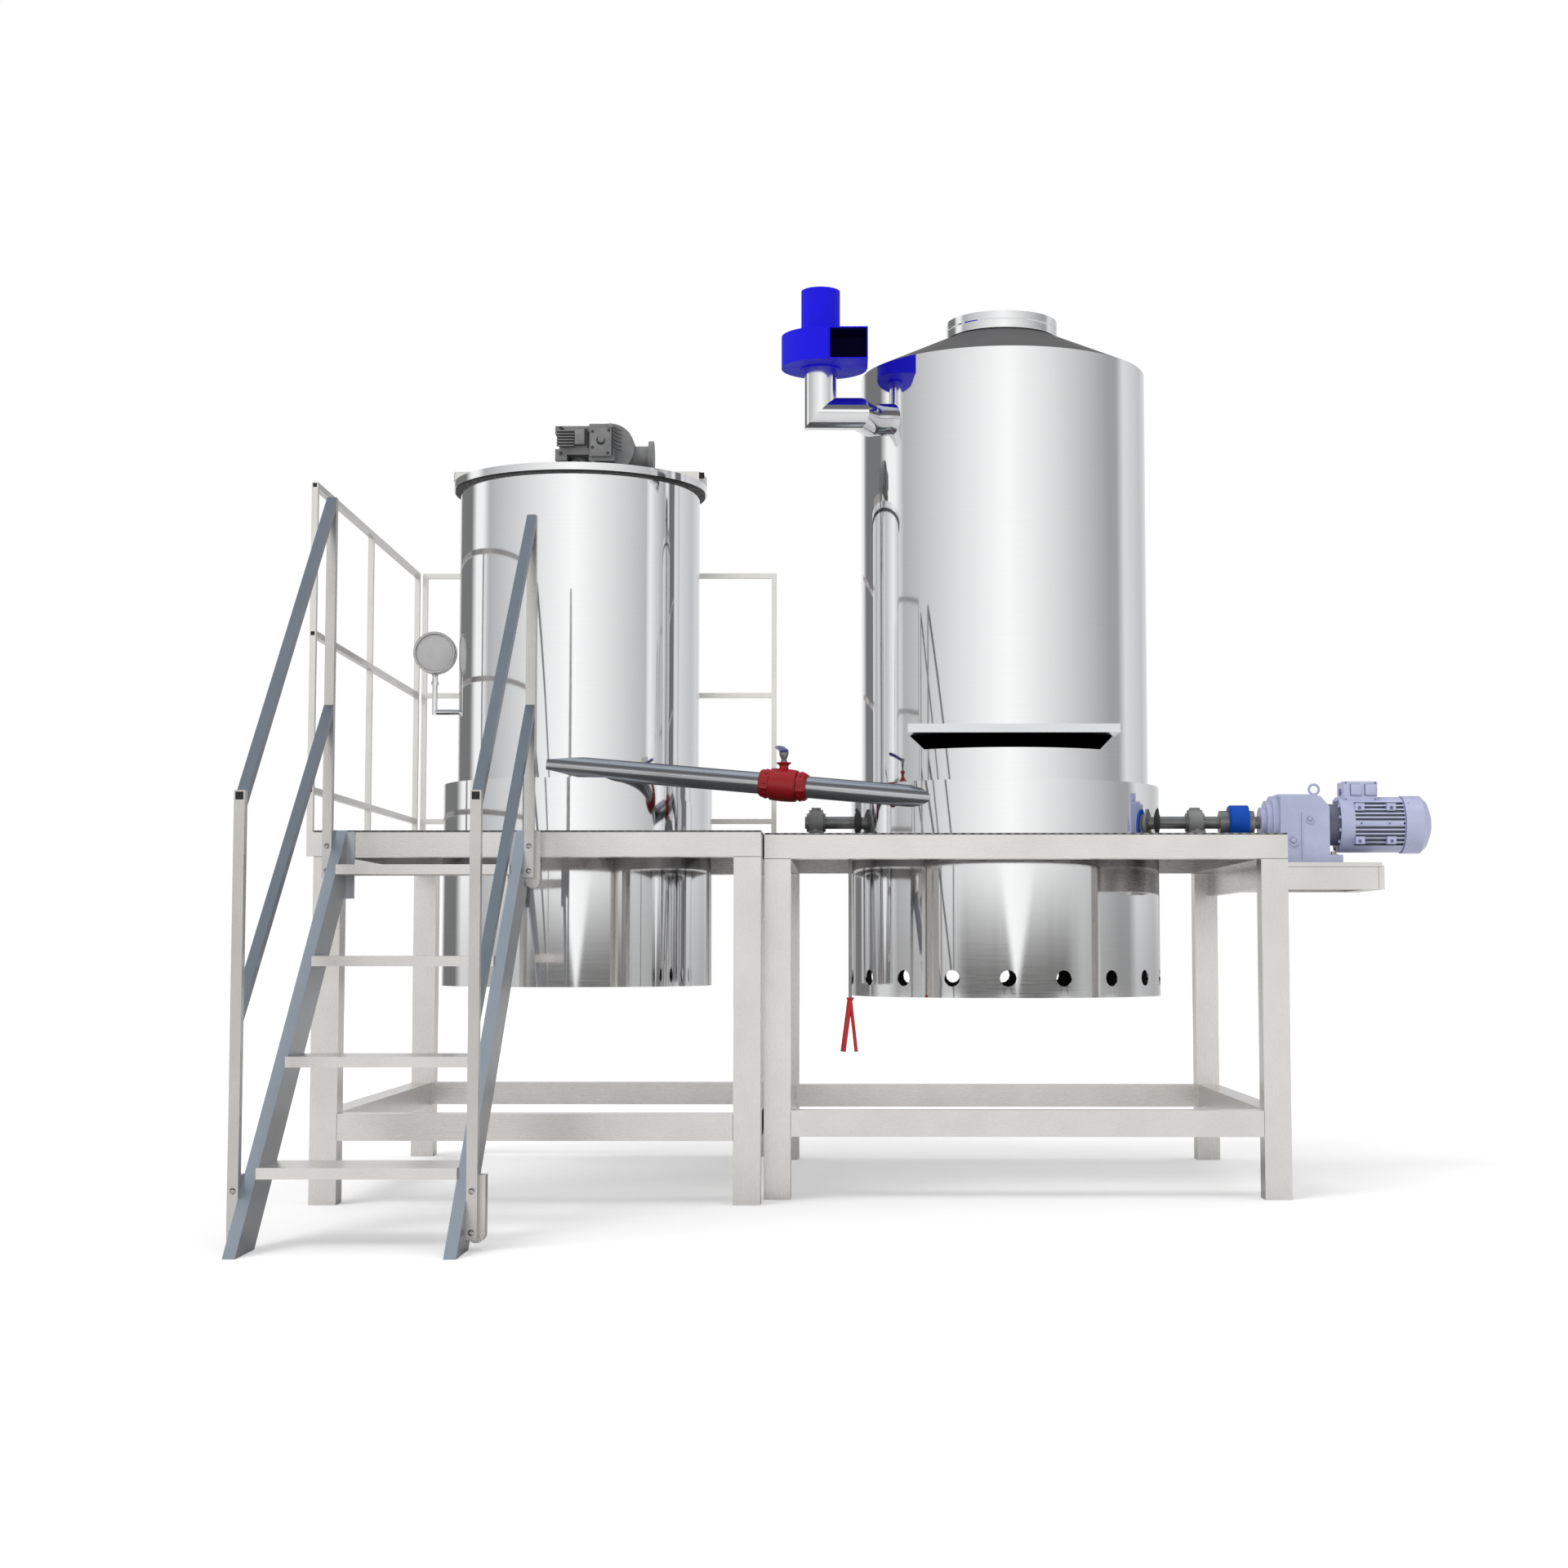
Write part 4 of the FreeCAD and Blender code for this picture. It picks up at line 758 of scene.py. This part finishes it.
def stage():
    mesh = bpy.data.meshes.new("floor")
    around = [2 * math.pi * k / FLOOR_SIDES for k in range(FLOOR_SIDES)]
    mesh.from_pydata([(FLOOR_RADIUS * math.cos(a), FLOOR_RADIUS * math.sin(a), 0) for a in around],
                     [], [range(FLOOR_SIDES)])
    floor = bpy.data.objects.new("floor", mesh)
    bpy.context.collection.objects.link(floor)
    material = bpy.data.materials.new("pale_floor")
    material.use_nodes = True
    tree = material.node_tree
    bsdf = tree.nodes["Principled BSDF"]
    bsdf.inputs["Base Color"].default_value = (0.8, 0.8, 0.8, 1)
    bsdf.inputs["Roughness"].default_value = 0.9
    bsdf.inputs["Specular IOR Level"].default_value = 0.0
    glow = node(tree, "ShaderNodeEmission")
    path = node(tree, "ShaderNodeLightPath")
    tree.links.new(maths(tree, "MULTIPLY", path.outputs["Is Camera Ray"], 0.34), glow.inputs["Strength"])
    both = node(tree, "ShaderNodeAddShader")
    tree.links.new(bsdf.outputs[0], both.inputs[0])
    tree.links.new(glow.outputs[0], both.inputs[1])
    tree.links.new(both.outputs[0], tree.nodes["Material Output"].inputs["Surface"])
    mesh.materials.append(material)


# Studio lights, by the angle from the viewer's side: positive to the right, levels to one decimal
BANDS = [(-180, 0.9), (-160, 0.9),  # wall behind
         (-150, 0.2), (-120, 0.2),  # dark flag, left and behind
         (-110, 1.0), (-100, 1.0),  # strip light on the left
         (-90, 0.5), (0, 1.1), (90, 0.4),  # broad light in front, falling off to the sides
         (100, 0.4), (110, 0.8), (140, 0.6), (180, 0.9)]  # fill on the right
LOW, ZENITH, CEILING, FLOOR = 0.15, (0.56, 0.63, 0.70), (0.17, 0.17, 0.175), (0.81, 0.81, 0.81)


def ramped(tree, value, start, stop, low, high):
    made = node(tree, "ShaderNodeMapRange", interpolation_type="SMOOTHSTEP")
    for name, number in zip(("From Min", "From Max", "To Min", "To Max"), (start, stop, low, high)):
        made.inputs[name].default_value = number
    tree.links.new(value, made.inputs["Value"])
    return made.outputs["Result"]


def world():
    """Upright bands of light round the object, darker low down but for a wedge, with a grey ceiling."""
    made = bpy.data.worlds.new("studio")
    bpy.context.scene.world = made
    made.use_nodes = True
    tree = made.node_tree
    tree.nodes.clear()
    place = node(tree, "ShaderNodeTexCoord")
    split = node(tree, "ShaderNodeSeparateXYZ")
    tree.links.new(place.outputs["Generated"], split.inputs[0])
    side, deep, up = split.outputs
    angle = maths(tree, "ARCTAN2", side, maths(tree, "MULTIPLY", deep, -1))
    turn = node(tree, "ShaderNodeMapRange")
    turn.inputs["From Min"].default_value, turn.inputs["From Max"].default_value = -math.pi, math.pi
    tree.links.new(angle, turn.inputs["Value"])
    ramp = node(tree, "ShaderNodeValToRGB")
    stops = ramp.color_ramp.elements
    while len(stops) < len(BANDS):
        stops.new(0.5)
    for stop, (degrees, level) in zip(stops, BANDS):
        stop.position = (degrees + 180) / 360
        cool = 1.0 if level > 0.9 else 0.985
        stop.color = (level * cool, level * (cool + 0.008), level, 1)
    tree.links.new(turn.outputs[0], ramp.inputs["Fac"])
    # Below the horizon only a wedge in front stays bright
    sunk = ramped(tree, up, -0.02, 0.045, 1.0, 0.0)
    ahead = maths(tree, "ABSOLUTE", maths(tree, "SUBTRACT", angle, math.radians(5)))
    width = maths(tree, "MULTIPLY_ADD", up, 4.0, 0.07)
    outside = ramped(tree, maths(tree, "SUBTRACT", ahead, width), -0.03, 0.05, 0.0, 1.0)
    front = ramped(tree, ahead, 0.6, 0.9, 1.0, 0.35)
    darker = maths(tree, "MULTIPLY", maths(tree, "MULTIPLY", sunk, outside), front)
    ground = blended(tree, darker, ramp.outputs["Color"], (LOW, LOW * 0.98, LOW * 0.95))
    beyond = blended(tree, ramped(tree, up, -0.08, -0.03, 1.0, 0.0), ground, FLOOR)
    overhead = blended(tree, ramped(tree, up, 0.24, 0.42, 0.0, 1.0), beyond, CEILING)
    sky = blended(tree, ramped(tree, up, 0.78, 0.95, 0.0, 1.0), overhead, ZENITH)
    path = node(tree, "ShaderNodeLightPath")
    shiny = maths(tree, "MAXIMUM", path.outputs["Is Glossy Ray"], path.outputs["Is Transmission Ray"])
    seen = blended(tree, shiny, (0.80, 0.80, 0.80), sky)
    light = node(tree, "ShaderNodeBackground")
    tree.links.new(blended(tree, path.outputs["Is Camera Ray"], seen, (1.0, 1.0, 1.0)), light.inputs["Color"])
    out = node(tree, "ShaderNodeOutputWorld")
    tree.links.new(light.outputs[0], out.inputs["Surface"])


def lamp():
    sun = bpy.data.objects.new("sun", bpy.data.lights.new("sun", "SUN"))
    sun.data.energy, sun.data.angle = 0.9, math.radians(25)
    sun.rotation_euler = (math.radians(38), math.radians(-18), math.radians(-20))
    sun.visible_glossy = False
    bpy.context.collection.objects.link(sun)


def camera():
    data = bpy.data.cameras.new("camera")
    data.sensor_width = 36.0
    data.lens = FOCAL / FRAME * data.sensor_width
    data.shift_x = SHIFT / FRAME
    made = bpy.data.objects.new("camera", data)
    made.location = at(*EYE)
    made.rotation_mode = "QUATERNION"
    ahead = Vector((math.sin(YAW) * math.cos(PITCH), math.cos(YAW) * math.cos(PITCH), math.sin(PITCH)))
    made.rotation_quaternion = ahead.to_track_quat("-Z", "Y")
    bpy.context.collection.objects.link(made)
    bpy.context.scene.camera = made


stage()
world()
lamp()
camera()
bpy.context.scene.view_settings.view_transform = "Standard"
